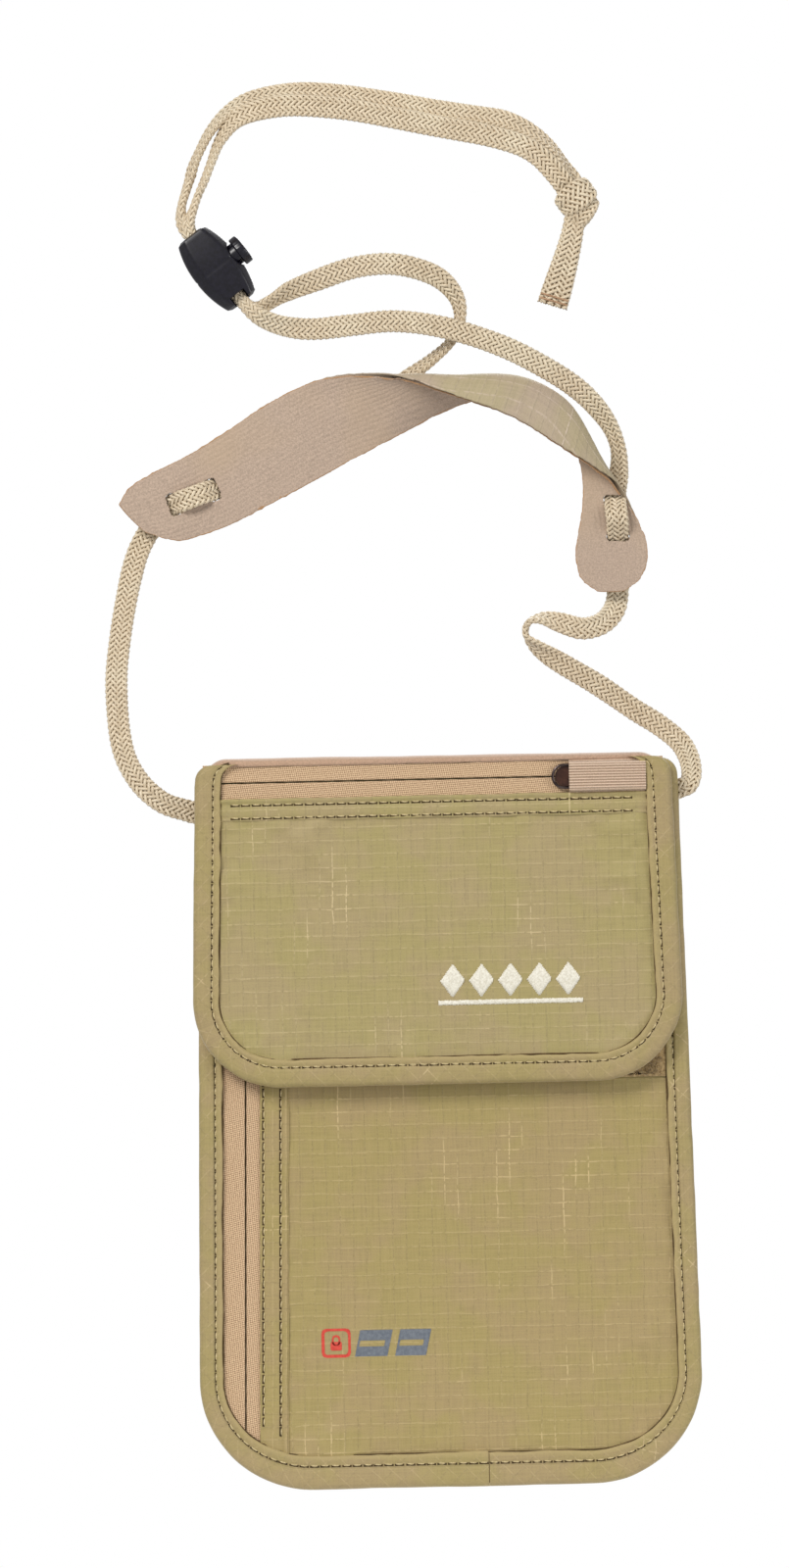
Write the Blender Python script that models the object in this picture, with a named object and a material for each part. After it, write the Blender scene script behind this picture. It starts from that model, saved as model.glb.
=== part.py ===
"""Neck pouch wallet: a flat zipped travel pouch with a flap, hanging on an adjustable neck strap.

Metres, +Z up, X to the wearer's left, the front faces -Y.
The origin is the centre of the back panel's outer face. All layers of the pouch lie at negative Y,
stacked from the back panel (Y = 0) to the front of the flap.
"""

import math

import bmesh
import bpy
import numpy as np
from mathutils import Matrix, Vector

MM = 0.001

# Outlines, seen from the front
BODY = dict(half_top=65.6, half_bottom=68.8, top=99.0, bottom=-99.5, corner=30.5, centre=0.6)
FLAP = dict(half_top=65.0, half_bottom=66.9, top=99.5, bottom=11.0, corner=24.0, centre=-0.8)
TOP_CORNER = 4.5
PANEL_INSET = 1.2
BODY_BINDING_SIDE = 6.6
BODY_BINDING_BOTTOM = 9.6
FLAP_BINDING_SIDE = 7.2
FLAP_BINDING_BOTTOM = 7.7
CORNER_STEPS = 9
TOP_STEPS = 3

# Layers of the body, as (back, front) positions in Y
BACK_BOSS = (0.0, -1.2)
BACK_FLANGE = (-1.1, -1.6)
BODY_BINDING = (-0.3, -5.8)
SHIELD = (-1.8, -2.0)
DIVIDER = (-2.25, -2.55)
FRONT_COIL = (-3.25, -3.85)
FRONT_TAPE = (-4.0, -4.35)
FRONT_PANEL = (-4.55, -4.95)
LOOP_TAPE = (-5.2, -6.1)

# Layers of the flap
FLAP_BINDING = (-7.1, -11.45)
HOOK_TAPE = (-6.7, -7.6)
LINING = (-7.9, -8.2)
FLAP_COIL = (-9.0, -9.5)
FLAP_TAPE = (-9.65, -10.0)
FLAP_FACE = (-10.2, -10.6)
BINDING_THICK = 0.6
GARAGE_CROWN = -13.0

# Fold line of the flap, along X
FOLD_Y = 0.1
FOLD_Z = 99.3
FOLD_RISE = 102.0
FOLD_WALL = 0.45
FOLD_HALF = 57.0

# Zip on the flap, along X
FLAP_ZIP_Z = 94.4
FLAP_ZIP_PARK_X = 36.9
FLAP_FACING_TOP = 89.9
FLAP_FACING_BOTTOM = 84.8
GARAGE_X = (36.0, 56.2)
GARAGE_Z = (89.9, 98.8)
ZIP_SLIT = 1.0
COIL_WIDTH = 1.3

# Zip on the front, almost upright
FRONT_ZIP_X = -54.9
FRONT_ZIP_LEAN = 0.0208
FRONT_ZIP_REF_Z = -38.0
FRONT_MOUTH = 72.0
FRONT_ZIP_PARK_Z = 62.0
FRONT_FACING_LEFT = 5.4
FRONT_FACING_RIGHT = 10.9
DIVIDER_DROP = 15.0
SHIELD_DROP = 12.0

# Zip slider, in its own directions: along the zip, across it, and front to back
PLATE_REAR = -4.4
PLATE_NOSE = 4.6
PLATE_HALF = 2.8
BRIDGE_HALF_LENGTH = 1.15
BRIDGE_LEG = 0.6
BRIDGE_HALF_WIDTH = 0.8
RING_RADIUS = 3.1
RING_WIRE = 0.38
RING_LEG = 1.9

# Hook and loop strips
LOOP_X = (-40.5, 60.4)
LOOP_Z = (11.8, 31.8)
HOOK_X = (-38.0, 46.0)
HOOK_Z = (20.2, 36.2)

# Strap
CORD_WIDTH = 6.0
CORD_THICK = 1.2
CORD_STEPS = 96
PAD_STEPS = 44
PAD_CELLS = 5
PAD_LINING = (0.15, 0.75)
PAD_FACE = (-0.55, -0.15)

# Cord lock: a push-button barrel lock on both cords
LOCK_CENTRE = Vector((-57.0, 4.0, 235.9))
LOCK_AXIS = Vector((-0.6, 0.0, 0.8))
LOCK_SIDE = Vector((0.8, 0.0, 0.6))
LOCK_HALF_LENGTH = 11.5
LOCK_HALF_WIDTH = 6.9
LOCK_HALF_DEPTH = 4.6
LOCK_HOLE = (2.3, 2.35)
PLUNGER_RADIUS = 3.15
BORE_RADIUS = 3.4
BORE_BOTTOM = -5.3
PLUNGER_END = -2.9
PLUNGER_SLOT = (-2.1, 4.4)
CAP_RADIUS = 3.85
CAP_UNDER = 9.1
CAP_TOP = 10.9
NIP_WIDTH = 3.6
NIP_THICK = 1.6
NIP_RAMP = 6.0

COLOURS = {
    "ripstop": (0.47, 0.42, 0.25, 0.75, 0.0),
    "binding": (0.44, 0.40, 0.24, 0.75, 0.0),
    "skin": (0.66, 0.52, 0.40, 0.9, 0.0),
    "zip_tape": (0.60, 0.47, 0.33, 0.85, 0.0),
    "foil": (0.62, 0.62, 0.60, 0.35, 0.6),
    "hook_loop": (0.33, 0.24, 0.14, 0.95, 0.0),
    "gunmetal": (0.06, 0.05, 0.05, 0.3, 0.9),
    "cord": (0.72, 0.62, 0.44, 0.7, 0.0),
    "black_plastic": (0.02, 0.02, 0.03, 0.35, 0.0),
    "spring_steel": (0.5, 0.5, 0.5, 0.3, 1.0),
}


def clear_scene():
    for obj in list(bpy.data.objects):
        bpy.data.objects.remove(obj, do_unlink=True)


def material(name):
    found = bpy.data.materials.get(name)
    if found:
        return found
    red, green, blue, rough, metal = COLOURS[name]
    made = bpy.data.materials.new(name)
    made.use_nodes = True
    shader = made.node_tree.nodes["Principled BSDF"]
    shader.inputs["Base Color"].default_value = (red, green, blue, 1.0)
    shader.inputs["Roughness"].default_value = rough
    shader.inputs["Metallic"].default_value = metal
    made.diffuse_color = (red, green, blue, 1.0)
    return made


def solid(name, points, faces, look, origin=(0.0, 0.0, 0.0), smooth=False):
    """An object from points in millimetres, its origin at `origin`, with its faces turned outwards."""
    base = Vector(origin) * MM
    mesh = bpy.data.meshes.new(name)
    mesh.from_pydata([Vector(p) * MM - base for p in points], [], faces)
    work = bmesh.new()
    work.from_mesh(mesh)
    bmesh.ops.recalc_face_normals(work, faces=work.faces)
    if work.calc_volume(signed=True) < 0:
        bmesh.ops.reverse_faces(work, faces=work.faces)
    work.to_mesh(mesh)
    work.free()
    if smooth:
        mesh.shade_smooth()
        mesh.set_sharp_from_angle(angle=math.radians(40))
    obj = bpy.data.objects.new(name, mesh)
    obj.location = base
    mesh.materials.append(material(look))
    bpy.context.scene.collection.objects.link(obj)
    return obj


def rings_solid(name, rings, look, origin=(0.0, 0.0, 0.0), closed=False, smooth=True):
    """A skin over equal rings of points, capped at both ends, or joined into a loop."""
    count = len(rings[0])
    points = [p for ring in rings for p in ring]
    faces = []
    last = len(rings) if closed else len(rings) - 1
    for i in range(last):
        here, there = i * count, ((i + 1) % len(rings)) * count
        for j in range(count):
            k = (j + 1) % count
            faces.append((here + j, here + k, there + k, there + j))
    if not closed:
        faces.append(tuple(range(count))[::-1])
        faces.append(tuple(range((len(rings) - 1) * count, len(rings) * count)))
    return solid(name, points, faces, look, origin, smooth)


def helper_box(name, low, high, matrix=None):
    """A cutter or an added block, left out of the model itself."""
    corners = [(x, y, z) for x in (low[0], high[0]) for y in (low[1], high[1]) for z in (low[2], high[2])]
    faces = [(0, 1, 3, 2), (4, 6, 7, 5), (0, 4, 5, 1), (2, 3, 7, 6), (0, 2, 6, 4), (1, 5, 7, 3)]
    obj = solid(name, corners, faces, "gunmetal")
    if matrix is not None:
        obj.matrix_world = matrix
    return hide_helper(obj)


def hide_helper(obj):
    obj.hide_render = True
    obj.display_type = "WIRE"
    return obj


def boolean(obj, other, operation):
    modifier = obj.modifiers.new(other.name, "BOOLEAN")
    modifier.operation = operation
    modifier.solver = "EXACT"
    modifier.object = other
    return obj


# Outlines -------------------------------------------------------------------------------------


def panel_outline(shape, inset=0.0, top_inset=0.0, bottom_inset=None):
    """Points (x, z) from the top left corner, down, round the bottom and up to the top right corner."""
    bottom_inset = inset if bottom_inset is None else bottom_inset
    top, bottom, corner = shape["top"], shape["bottom"], shape["corner"]
    half_top, half_bottom = shape["half_top"], shape["half_bottom"]
    left = []
    if top_inset < TOP_CORNER:
        for i in range(TOP_STEPS + 1):
            turn = 0.5 * math.pi * i / TOP_STEPS
            x = -half_top + max(TOP_CORNER, inset) - max(0.0, TOP_CORNER - inset) * math.sin(turn)
            z = top - TOP_CORNER + (TOP_CORNER - top_inset) * math.cos(turn)
            left.append((x, z))
    else:
        left.append((-half_top + inset, top - top_inset))
    for i in range(CORNER_STEPS + 1):
        turn = 0.5 * math.pi * i / CORNER_STEPS
        x = -half_bottom + corner - (corner - inset) * math.cos(turn)
        z = bottom + corner - (corner - bottom_inset) * math.sin(turn)
        left.append((x, z))
    right = [(-x, z) for x, z in reversed(left)]
    return [(x + shape["centre"], z) for x, z in left + right]


def clip(points, a, b, c):
    """The part of a polygon where a * x + b * z >= c."""
    kept = []
    for i, here in enumerate(points):
        before = points[i - 1]
        here_side = a * here[0] + b * here[1] - c
        before_side = a * before[0] + b * before[1] - c
        if (here_side >= 0) != (before_side >= 0):
            share = before_side / (before_side - here_side)
            kept.append(tuple(before[k] + share * (here[k] - before[k]) for k in (0, 1)))
        if here_side >= 0:
            kept.append(here)
    return kept


def plate(name, outline, layer, look):
    back = [(x, layer[0], z) for x, z in outline]
    front = [(x, layer[1], z) for x, z in outline]
    return rings_solid(name, [back, front], look, smooth=False)


def rectangle(x_range, z_range):
    return [(x_range[0], z_range[1]), (x_range[0], z_range[0]), (x_range[1], z_range[0]), (x_range[1], z_range[1])]


def binding_width(shape, z, side, bottom):
    """The tape is wider along the bottom edge than at the sides."""
    drop = min(1.0, max(0.0, 1.0 - (z - shape["bottom"]) / shape["corner"]))
    return side + (bottom - side) * drop * drop


def binding(name, shape, layer, side, bottom):
    """Edge tape folded round the outline: a channel open to the inside, swept down, across and up."""
    outer = panel_outline(shape)
    rings = []
    back, front = layer
    thick = BINDING_THICK
    for x, z in outer:
        width = binding_width(shape, z, side, bottom)
        half = shape["half_top"] + (shape["half_bottom"] - shape["half_top"]) * (shape["top"] - z) / (
            shape["top"] - shape["bottom"]
        )
        side_sign = math.copysign(1.0, x - shape["centre"])
        direction = Vector((-side_sign, 0.0))
        low_centre = shape["bottom"] + shape["corner"]
        reach = width
        if z < low_centre:
            centre_x = side_sign * (shape["half_bottom"] - shape["corner"]) + shape["centre"]
            direction = (Vector((centre_x, low_centre)) - Vector((x, z))).normalized()
        else:
            reach = width - (half - abs(x - shape["centre"]))
        section = [
            (0.5, back), (reach, back), (reach, back - thick), (thick, back - thick),
            (thick, front + thick), (reach, front + thick), (reach, front), (0.5, front),
            (0.0, front + 0.7), (0.0, back - 0.7),
        ]
        rings.append([(x + direction.x * d, y, z + direction.y * d) for d, y in section])
    return rings_solid(name, rings, "binding")


def inner_outline(shape, side, bottom, gap, top_inset):
    """The opening left by the edge tape, smaller all round by `gap`."""
    return panel_outline(shape, side + gap, top_inset, bottom + gap)


# Pouch body -----------------------------------------------------------------------------------


def make_back_panel():
    """A sheet whose middle stands out between the legs of the binding and makes the back face."""
    flange = panel_outline(BODY, PANEL_INSET, 0.3)
    boss = panel_outline(BODY, BODY_BINDING_SIDE + 0.5, 0.4, BODY_BINDING_BOTTOM + 0.5)
    rings = [
        [(x, BACK_FLANGE[1], z) for x, z in flange],
        [(x, BACK_FLANGE[0], z) for x, z in flange],
        [(x, BACK_FLANGE[0], z) for x, z in boss],
        [(x, BACK_BOSS[0], z) for x, z in boss],
    ]
    return rings_solid("back_panel", rings, "skin", smooth=False)


def front_zip_x(z, offset):
    return FRONT_ZIP_X + FRONT_ZIP_LEAN * (z - FRONT_ZIP_REF_Z) + offset


def between_zip_lines(points, low_offset, high_offset):
    """Keeps what lies between two lines parallel to the front zip."""
    base = FRONT_ZIP_X - FRONT_ZIP_LEAN * FRONT_ZIP_REF_Z
    if low_offset is not None:
        points = clip(points, 1.0, -FRONT_ZIP_LEAN, base + low_offset)
    if high_offset is not None:
        points = clip(points, -1.0, FRONT_ZIP_LEAN, -(base + high_offset))
    return points


def front_outline():
    return panel_outline(BODY, PANEL_INSET, BODY["top"] - FRONT_MOUTH)


def front_zip_strip(name, low, high, layer, look, top=FRONT_MOUTH - 0.5, bottom=-88.0):
    corners = [(low, top), (low, bottom), (high, bottom), (high, top)]
    return plate(name, [(front_zip_x(z, offset), z) for offset, z in corners], layer, look)


def make_body():
    shield_outline = panel_outline(BODY, 3.0, SHIELD_DROP)
    divider_outline = panel_outline(BODY, PANEL_INSET, DIVIDER_DROP)
    half_slit = ZIP_SLIT / 2
    parts = [
        make_back_panel(),
        binding("body_binding", BODY, BODY_BINDING, BODY_BINDING_SIDE, BODY_BINDING_BOTTOM),
        plate("rfid_shield", shield_outline, SHIELD, "foil"),
        plate("divider_panel", divider_outline, DIVIDER, "ripstop"),
        plate("front_panel", between_zip_lines(front_outline(), FRONT_FACING_RIGHT + 0.3, None),
              FRONT_PANEL, "ripstop"),
        plate("front_zip_facing",
              between_zip_lines(front_outline(), FRONT_FACING_LEFT, FRONT_FACING_RIGHT),
              FRONT_PANEL, "binding"),
        plate("front_zip_tape_left", between_zip_lines(front_outline(), None, -half_slit),
              FRONT_TAPE, "zip_tape"),
        plate("front_zip_tape_right", between_zip_lines(front_outline(), half_slit, 9.0),
              FRONT_TAPE, "zip_tape"),
        front_zip_strip("front_zip_coil_left", -half_slit - COIL_WIDTH, -half_slit, FRONT_COIL, "zip_tape"),
        front_zip_strip("front_zip_coil_right", half_slit, half_slit + COIL_WIDTH, FRONT_COIL, "zip_tape"),
        plate("loop_tape", rectangle(LOOP_X, LOOP_Z), LOOP_TAPE, "hook_loop"),
    ]
    return parts


# Flap -----------------------------------------------------------------------------------------


def make_top_fold():
    """The strip of skin fabric that turns over the top edge, from the fold line to the flap's front."""
    back_y, front_y, foot = -0.4, -10.1, FOLD_Z + 0.3
    steps = 10
    middle, half = 0.5 * (back_y + front_y), 0.5 * (back_y - front_y)
    outer, inner = [], []
    for i in range(steps + 1):
        turn = math.pi * i / steps
        outer.append((middle + half * math.cos(turn), foot + (FOLD_RISE - foot) * math.sin(turn)))
        inner.append(
            (middle + (half - FOLD_WALL) * math.cos(turn), foot + (FOLD_RISE - FOLD_WALL - foot) * math.sin(turn))
        )
    profile = outer + inner[::-1]
    centre = FLAP["centre"]
    rings = [[(centre + side * FOLD_HALF, y, z) for y, z in profile] for side in (-1, 1)]
    return rings_solid("top_fold", rings, "skin", (0.0, FOLD_Y, FOLD_Z))


def make_garage():
    """A short ribbon crossing the closed end of the flap zip; the slider parks under it."""
    back, crown, wall = FLAP_FACE[1] - 0.3, GARAGE_CROWN, 0.4
    low, high = GARAGE_Z
    outer = [(low, back), (low, crown + 0.8), (low + 0.8, crown), (high - 0.8, crown), (high, crown + 0.8),
             (high, back)]
    inner = [(high - wall, back), (high - wall, crown + 0.9), (high - 1.0, crown + wall),
             (low + 1.0, crown + wall), (low + wall, crown + 0.9), (low + wall, back)]
    profile = outer + inner
    rings = [[(x, y, z) for z, y in profile] for x in GARAGE_X]
    return rings_solid("zip_garage", rings, "skin", smooth=False)


def make_flap():
    inset = panel_outline(FLAP, PANEL_INSET, 0.6)
    half_slit = ZIP_SLIT / 2
    opening = inner_outline(FLAP, FLAP_BINDING_SIDE, FLAP_BINDING_BOTTOM, 0.0, 0.6)
    left_end = opening[0][0] + 1.0
    right_end = opening[-1][0] - 1.0
    tape_low = FLAP_FACING_TOP - 3.0
    parts = [
        plate("flap_lining", inset, LINING, "ripstop"),
        plate("flap_face", clip(inset, 0.0, -1.0, -(FLAP_FACING_BOTTOM - 0.15)), FLAP_FACE, "ripstop"),
        plate("flap_zip_facing",
              clip(clip(inset, 0.0, -1.0, -FLAP_FACING_TOP), 0.0, 1.0, FLAP_FACING_BOTTOM + 0.15),
              FLAP_FACE, "binding"),
        plate("flap_zip_tape_upper", clip(inset, 0.0, 1.0, FLAP_ZIP_Z + half_slit), FLAP_TAPE, "zip_tape"),
        plate("flap_zip_tape_lower",
              clip(clip(inset, 0.0, -1.0, half_slit - FLAP_ZIP_Z), 0.0, 1.0, tape_low), FLAP_TAPE, "zip_tape"),
        plate("flap_zip_coil_upper",
              rectangle((left_end, right_end), (FLAP_ZIP_Z + half_slit, FLAP_ZIP_Z + half_slit + COIL_WIDTH)),
              FLAP_COIL, "zip_tape"),
        plate("flap_zip_coil_lower",
              rectangle((left_end, right_end), (FLAP_ZIP_Z - half_slit - COIL_WIDTH, FLAP_ZIP_Z - half_slit)),
              FLAP_COIL, "zip_tape"),
        binding("flap_binding", FLAP, FLAP_BINDING, FLAP_BINDING_SIDE, FLAP_BINDING_BOTTOM),
        plate("hook_tape", rectangle(HOOK_X, HOOK_Z), HOOK_TAPE, "hook_loop"),
        make_top_fold(),
        make_garage(),
    ]
    return parts


# Zip sliders ----------------------------------------------------------------------------------


def slider_frame(place, along):
    """Directions along the zip, across it and out of the front, at a place on the zip's line."""
    along = Vector(along).normalized()
    out = Vector((0.0, -1.0, 0.0))
    across = out.cross(along)
    matrix = Matrix((along, across, out)).transposed().to_4x4()
    matrix.translation = Vector(place) * MM
    return matrix


def slider(name, place, along, layers):
    """Front plate with a bridge, a post through the zip, and a back plate that cups the coil."""
    frame = slider_frame(place, along)
    plate_front, plate_back, coil_back = layers["plate_front"], layers["plate_back"], layers["cup_front"]
    outline = []
    for i in range(9):
        turn = math.pi * (0.5 + i / 8)
        outline.append((PLATE_REAR + PLATE_HALF * (1 + math.cos(turn)), PLATE_HALF * math.sin(turn)))
    outline += [(PLATE_NOSE, -PLATE_HALF * 0.8), (PLATE_NOSE, PLATE_HALF * 0.8)]
    rings = [[(u, v, w) for u, v in outline] for w in (plate_back, plate_front)]
    obj = rings_solid(name, rings, "gunmetal", smooth=False)
    obj.matrix_world = frame
    top = layers["bridge_top"]
    under = layers["bridge_under"]
    sink = 0.15
    blocks = [
        ("bridge_rear", (-BRIDGE_HALF_LENGTH, plate_front - sink), (-BRIDGE_HALF_LENGTH + BRIDGE_LEG, top)),
        ("bridge_nose", (BRIDGE_HALF_LENGTH - BRIDGE_LEG, plate_front - sink), (BRIDGE_HALF_LENGTH, top)),
        ("bridge_beam", (-BRIDGE_HALF_LENGTH + 0.05, under), (BRIDGE_HALF_LENGTH - 0.05, top - 0.02)),
    ]
    for label, low, high in blocks:
        half = BRIDGE_HALF_WIDTH - (0.02 if label == "bridge_beam" else 0.0)
        block = helper_box(name + "_" + label, (low[0], -half, low[1]), (high[0], half, high[1]), frame)
        boolean(obj, block, "UNION")
    post = helper_box(name + "_post", (2.2, -0.22, coil_back - 0.1), (3.9, 0.22, plate_back + 0.1), frame)
    boolean(obj, post, "UNION")
    cup = helper_box(name + "_cup", (-3.4, -2.6, layers["cup_back"]), (4.4, 2.6, coil_back), frame)
    boolean(obj, cup, "UNION")
    return obj


def pull_ring(name, place, along, centre):
    """A D-shaped wire ring whose straight bar lies under the slider's bridge."""
    frame = slider_frame(place, along)
    path = [(0.0, -RING_RADIUS), (0.0, RING_RADIUS)]
    for i in range(11):
        turn = math.pi * (0.5 + i / 10)
        path.append((-RING_LEG + RING_RADIUS * math.cos(turn), RING_RADIUS * math.sin(turn)))
    rings = []
    count = len(path)
    sides = 8
    for i, here in enumerate(path):
        before, after = Vector(path[i - 1]), Vector(path[(i + 1) % count])
        here = Vector(here)
        tangent = ((here - before).normalized() + (after - here).normalized()).normalized()
        spread = 1.0 / max(0.5, tangent.dot((after - here).normalized()))
        normal = Vector((tangent.y, -tangent.x)) * spread
        ring = []
        for j in range(sides):
            turn = 2 * math.pi * j / sides
            point = here + normal * (RING_WIRE * math.cos(turn))
            ring.append((point.x, point.y, centre + RING_WIRE * math.sin(turn)))
        rings.append(ring)
    obj = rings_solid(name, rings, "gunmetal", closed=True)
    obj.matrix_world = frame
    return obj


def slider_layers(tape_front, coil_back):
    """Heights above the zip's line, all measured towards the front."""
    plate_back = -tape_front + 0.25
    plate_front = plate_back + 0.6
    under = plate_front + 1.05
    return dict(plate_back=plate_back, plate_front=plate_front, ring=plate_front + 0.55,
                bridge_under=under, bridge_top=under + 0.45,
                cup_front=-coil_back - 0.2, cup_back=-coil_back - 0.55)


def make_sliders():
    flap_layers = slider_layers(FLAP_TAPE[1], FLAP_COIL[0])
    flap_place = (FLAP_ZIP_PARK_X, 0.0, FLAP_ZIP_Z)
    front_layers = slider_layers(FRONT_TAPE[1], FRONT_COIL[0])
    front_place = (front_zip_x(FRONT_ZIP_PARK_Z, 0.0), 0.0, FRONT_ZIP_PARK_Z)
    up = (FRONT_ZIP_LEAN, 0.0, 1.0)
    return [
        slider("flap_zip_slider", flap_place, (1, 0, 0), flap_layers),
        pull_ring("flap_zip_pull", flap_place, (1, 0, 0), flap_layers["ring"]),
        slider("front_zip_slider", front_place, up, front_layers),
        pull_ring("front_zip_pull", front_place, up, front_layers["ring"]),
    ]


# Strap ----------------------------------------------------------------------------------------


def smooth_path(points, steps):
    """A curve through the points, as evenly spaced rows of the same numbers."""
    rows = np.array(points, dtype=float)
    padded = np.vstack([2 * rows[0] - rows[1], rows, 2 * rows[-1] - rows[-2]])
    fine = []
    for i in range(1, len(padded) - 2):
        before, start, end, after = padded[i - 1], padded[i], padded[i + 1], padded[i + 2]
        for t in np.linspace(0, 1, 12, endpoint=False):
            fine.append(
                0.5 * (2 * start + (end - before) * t + (2 * before - 5 * start + 4 * end - after) * t**2
                       + (3 * start - before - 3 * end + after) * t**3)
            )
    fine.append(rows[-1])
    fine = np.array(fine)
    lengths = np.r_[0.0, np.cumsum(np.linalg.norm(np.diff(fine[:, :3], axis=0), axis=1))]
    wanted = np.linspace(0.0, lengths[-1], steps)
    return np.column_stack([np.interp(wanted, lengths, fine[:, k]) for k in range(fine.shape[1])])


def nip_share(point):
    """0 away from the cord lock and 1 inside it, where the cord is squeezed narrow and thick."""
    offset = Vector(point) - LOCK_CENTRE
    along = abs(offset.dot(LOCK_AXIS))
    aside = (offset - LOCK_AXIS * offset.dot(LOCK_AXIS)).length
    if aside > LOCK_HALF_WIDTH:
        return 0.0
    return min(1.0, max(0.0, (LOCK_HALF_LENGTH + 4.5 + NIP_RAMP - along) / NIP_RAMP))


def ribbon_rings(path, width, thick):
    """Flat six-sided sections along a path of (x, y, z, turn): turn 0 lies flat to the front."""
    rings = []
    for i, row in enumerate(path):
        here = Vector(row[:3])
        tangent = Vector(path[min(i + 1, len(path) - 1)][:3]) - Vector(path[max(i - 1, 0)][:3])
        tangent.normalize()
        out = Vector((0.0, -1.0, 0.0))
        out = (out - tangent * out.dot(tangent)).normalized()
        side = tangent.cross(out)
        turn = math.radians(row[3])
        across = side * math.cos(turn) + out * math.sin(turn)
        through = out * math.cos(turn) - side * math.sin(turn)
        share = nip_share(here)
        half = 0.5 * (width + share * (NIP_WIDTH - width))
        deep = 0.5 * (thick + share * (NIP_THICK - thick))
        section = [(-1.0, 0.0), (-0.8, -1.0), (0.8, -1.0), (1.0, 0.0), (0.8, 1.0), (-0.8, 1.0)]
        rings.append([tuple(here + across * (half * a) + through * (deep * b)) for a, b in section])
    return rings


# Control points of each cord: x, depth y, z, and how far the flat face turns from the front
LEFT_CORD = [
    (-68.1, -3.0, 87.2, 0), (-75.2, -2.4, 89.8, 0), (-81.8, -0.5, 96.2, 0), (-85.9, 1.5, 105.7, 0),
    (-87.1, 4.0, 121.8, 0), (-85.8, 6.0, 135.2, 0), (-83.3, 8.0, 148.6, 0), (-80.7, 9.0, 158.0, 0),
    (-77.1, 9.3, 164.8, 0), (-73.4, 8.6, 169.2, 0), (-70.4, 5.8, 171.4, 0), (-67.0, 3.0, 172.6, 0),
    (-62.6, 3.1, 174.2, 0), (-59.3, 5.9, 175.3, 0), (-55.8, 8.7, 176.8, 0), (-48.0, 9.3, 181.0, 0),
    (-36.0, 9.8, 187.0, 0), (-22.0, 11.0, 193.5, 0), (-13.0, 12.8, 199.0, 0), (-5.5, 13.5, 205.2, 0),
    (1.4, 11.5, 210.0, 0), (6.8, 9.0, 214.8, 0), (9.4, 7.0, 220.5, 0), (8.7, 6.0, 226.5, 0),
    (4.5, 5.5, 231.7, 0), (-2.1, 5.0, 234.8, 0), (-10.2, 5.0, 236.3, 0), (-19.6, 5.0, 235.4, 0),
    (-29.1, 5.0, 232.4, 0), (-37.2, 4.95, 229.4, 0), (-42.6, 4.95, 226.4, 0), (-46.6, 4.95, 224.4, 0),
    (-49.4, 4.95, 226.0, 0), (-51.6, 4.95, 228.7, 0), (-57.0, 4.95, 235.9, 0), (-63.0, 4.95, 243.9, 0),
    (-65.9, 4.95, 247.8, 0), (-67.2, 5.0, 251.2, 0), (-65.9, 5.2, 256.5, 0), (-63.9, 5.3, 262.5, 0),
    (-61.5, 5.4, 268.2, 0), (-58.2, 5.5, 273.9, 0), (-53.4, 5.5, 279.0, 0), (-46.4, 5.5, 282.5, 0),
    (-34.6, 5.5, 284.2, 0), (-21.2, 5.5, 283.4, 0), (-7.8, 5.5, 281.0, 0), (5.6, 5.5, 278.4, 0),
    (18.9, 5.4, 275.0, 0), (29.5, 5.2, 268.8, 0), (36.0, 5.0, 262.8, 0), (39.6, 4.9, 258.8, 0),
]
RIGHT_CORD = [
    (67.2, -3.0, 90.6, 90), (69.2, -2.6, 91.5, 85), (70.2, -0.4, 94.6, 72), (69.6, 3.6, 99.0, 52),
    (67.2, 7.4, 103.4, 30), (61.6, 10.0, 108.2, 8), (55.3, 10.0, 112.3, 0), (45.1, 8.4, 119.5, 0),
    (35.8, 7.0, 125.2, 10), (29.2, 6.0, 129.6, 50), (25.8, 5.6, 133.4, 90), (26.6, 4.6, 137.0, 90),
    (30.4, 3.8, 138.0, 60), (35.4, 3.4, 136.6, 20), (41.2, 3.6, 134.9, 0), (46.6, 5.4, 136.2, 0),
    (50.2, 8.4, 140.0, 0), (51.4, 10.0, 145.2, 0), (51.7, 10.0, 151.8, 0), (51.7, 9.0, 156.2, 0),
    (51.6, 5.6, 160.2, 0), (51.5, 2.5, 164.0, 0), (51.2, 2.4, 166.6, 0), (51.0, 5.4, 169.6, 0),
    (51.4, 9.6, 173.2, 0), (52.4, 12.2, 178.0, 0), (52.4, 11.6, 184.0, 0), (50.2, 9.8, 190.4, 0),
    (45.6, 7.4, 196.8, 0), (39.9, 5.4, 202.0, 0), (32.2, 3.6, 207.0, 0), (22.9, 2.6, 212.0, 0),
    (12.2, 2.4, 216.2, 0), (1.6, 2.6, 219.1, 0), (-9.2, 3.0, 220.4, 0), (-19.9, 3.0, 219.6, 0),
    (-30.7, 3.0, 218.7, 0), (-38.6, 3.05, 219.6, 0), (-44.4, 3.05, 221.8, 0), (-48.4, 3.05, 224.8, 0),
    (-51.6, 3.05, 228.7, 0), (-57.0, 3.05, 235.9, 0), (-63.0, 3.05, 243.9, 0), (-65.7, 3.05, 247.5, 0),
    (-65.9, 3.0, 251.4, 0), (-61.9, 2.8, 257.8, 0), (-58.6, 2.8, 266.0, 0), (-55.9, 2.8, 271.8, 0),
    (-49.6, 2.8, 277.4, 0), (-37.4, 2.8, 280.2, 0), (-21.3, 2.8, 279.0, 0), (-7.9, 2.8, 276.3, 0),
    (5.4, 2.8, 272.8, 0), (18.8, 2.9, 269.0, 0), (29.4, 3.0, 263.4, 0), (34.6, 3.2, 259.4, 0),
    (37.4, 3.3, 257.4, 0),
]

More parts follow.
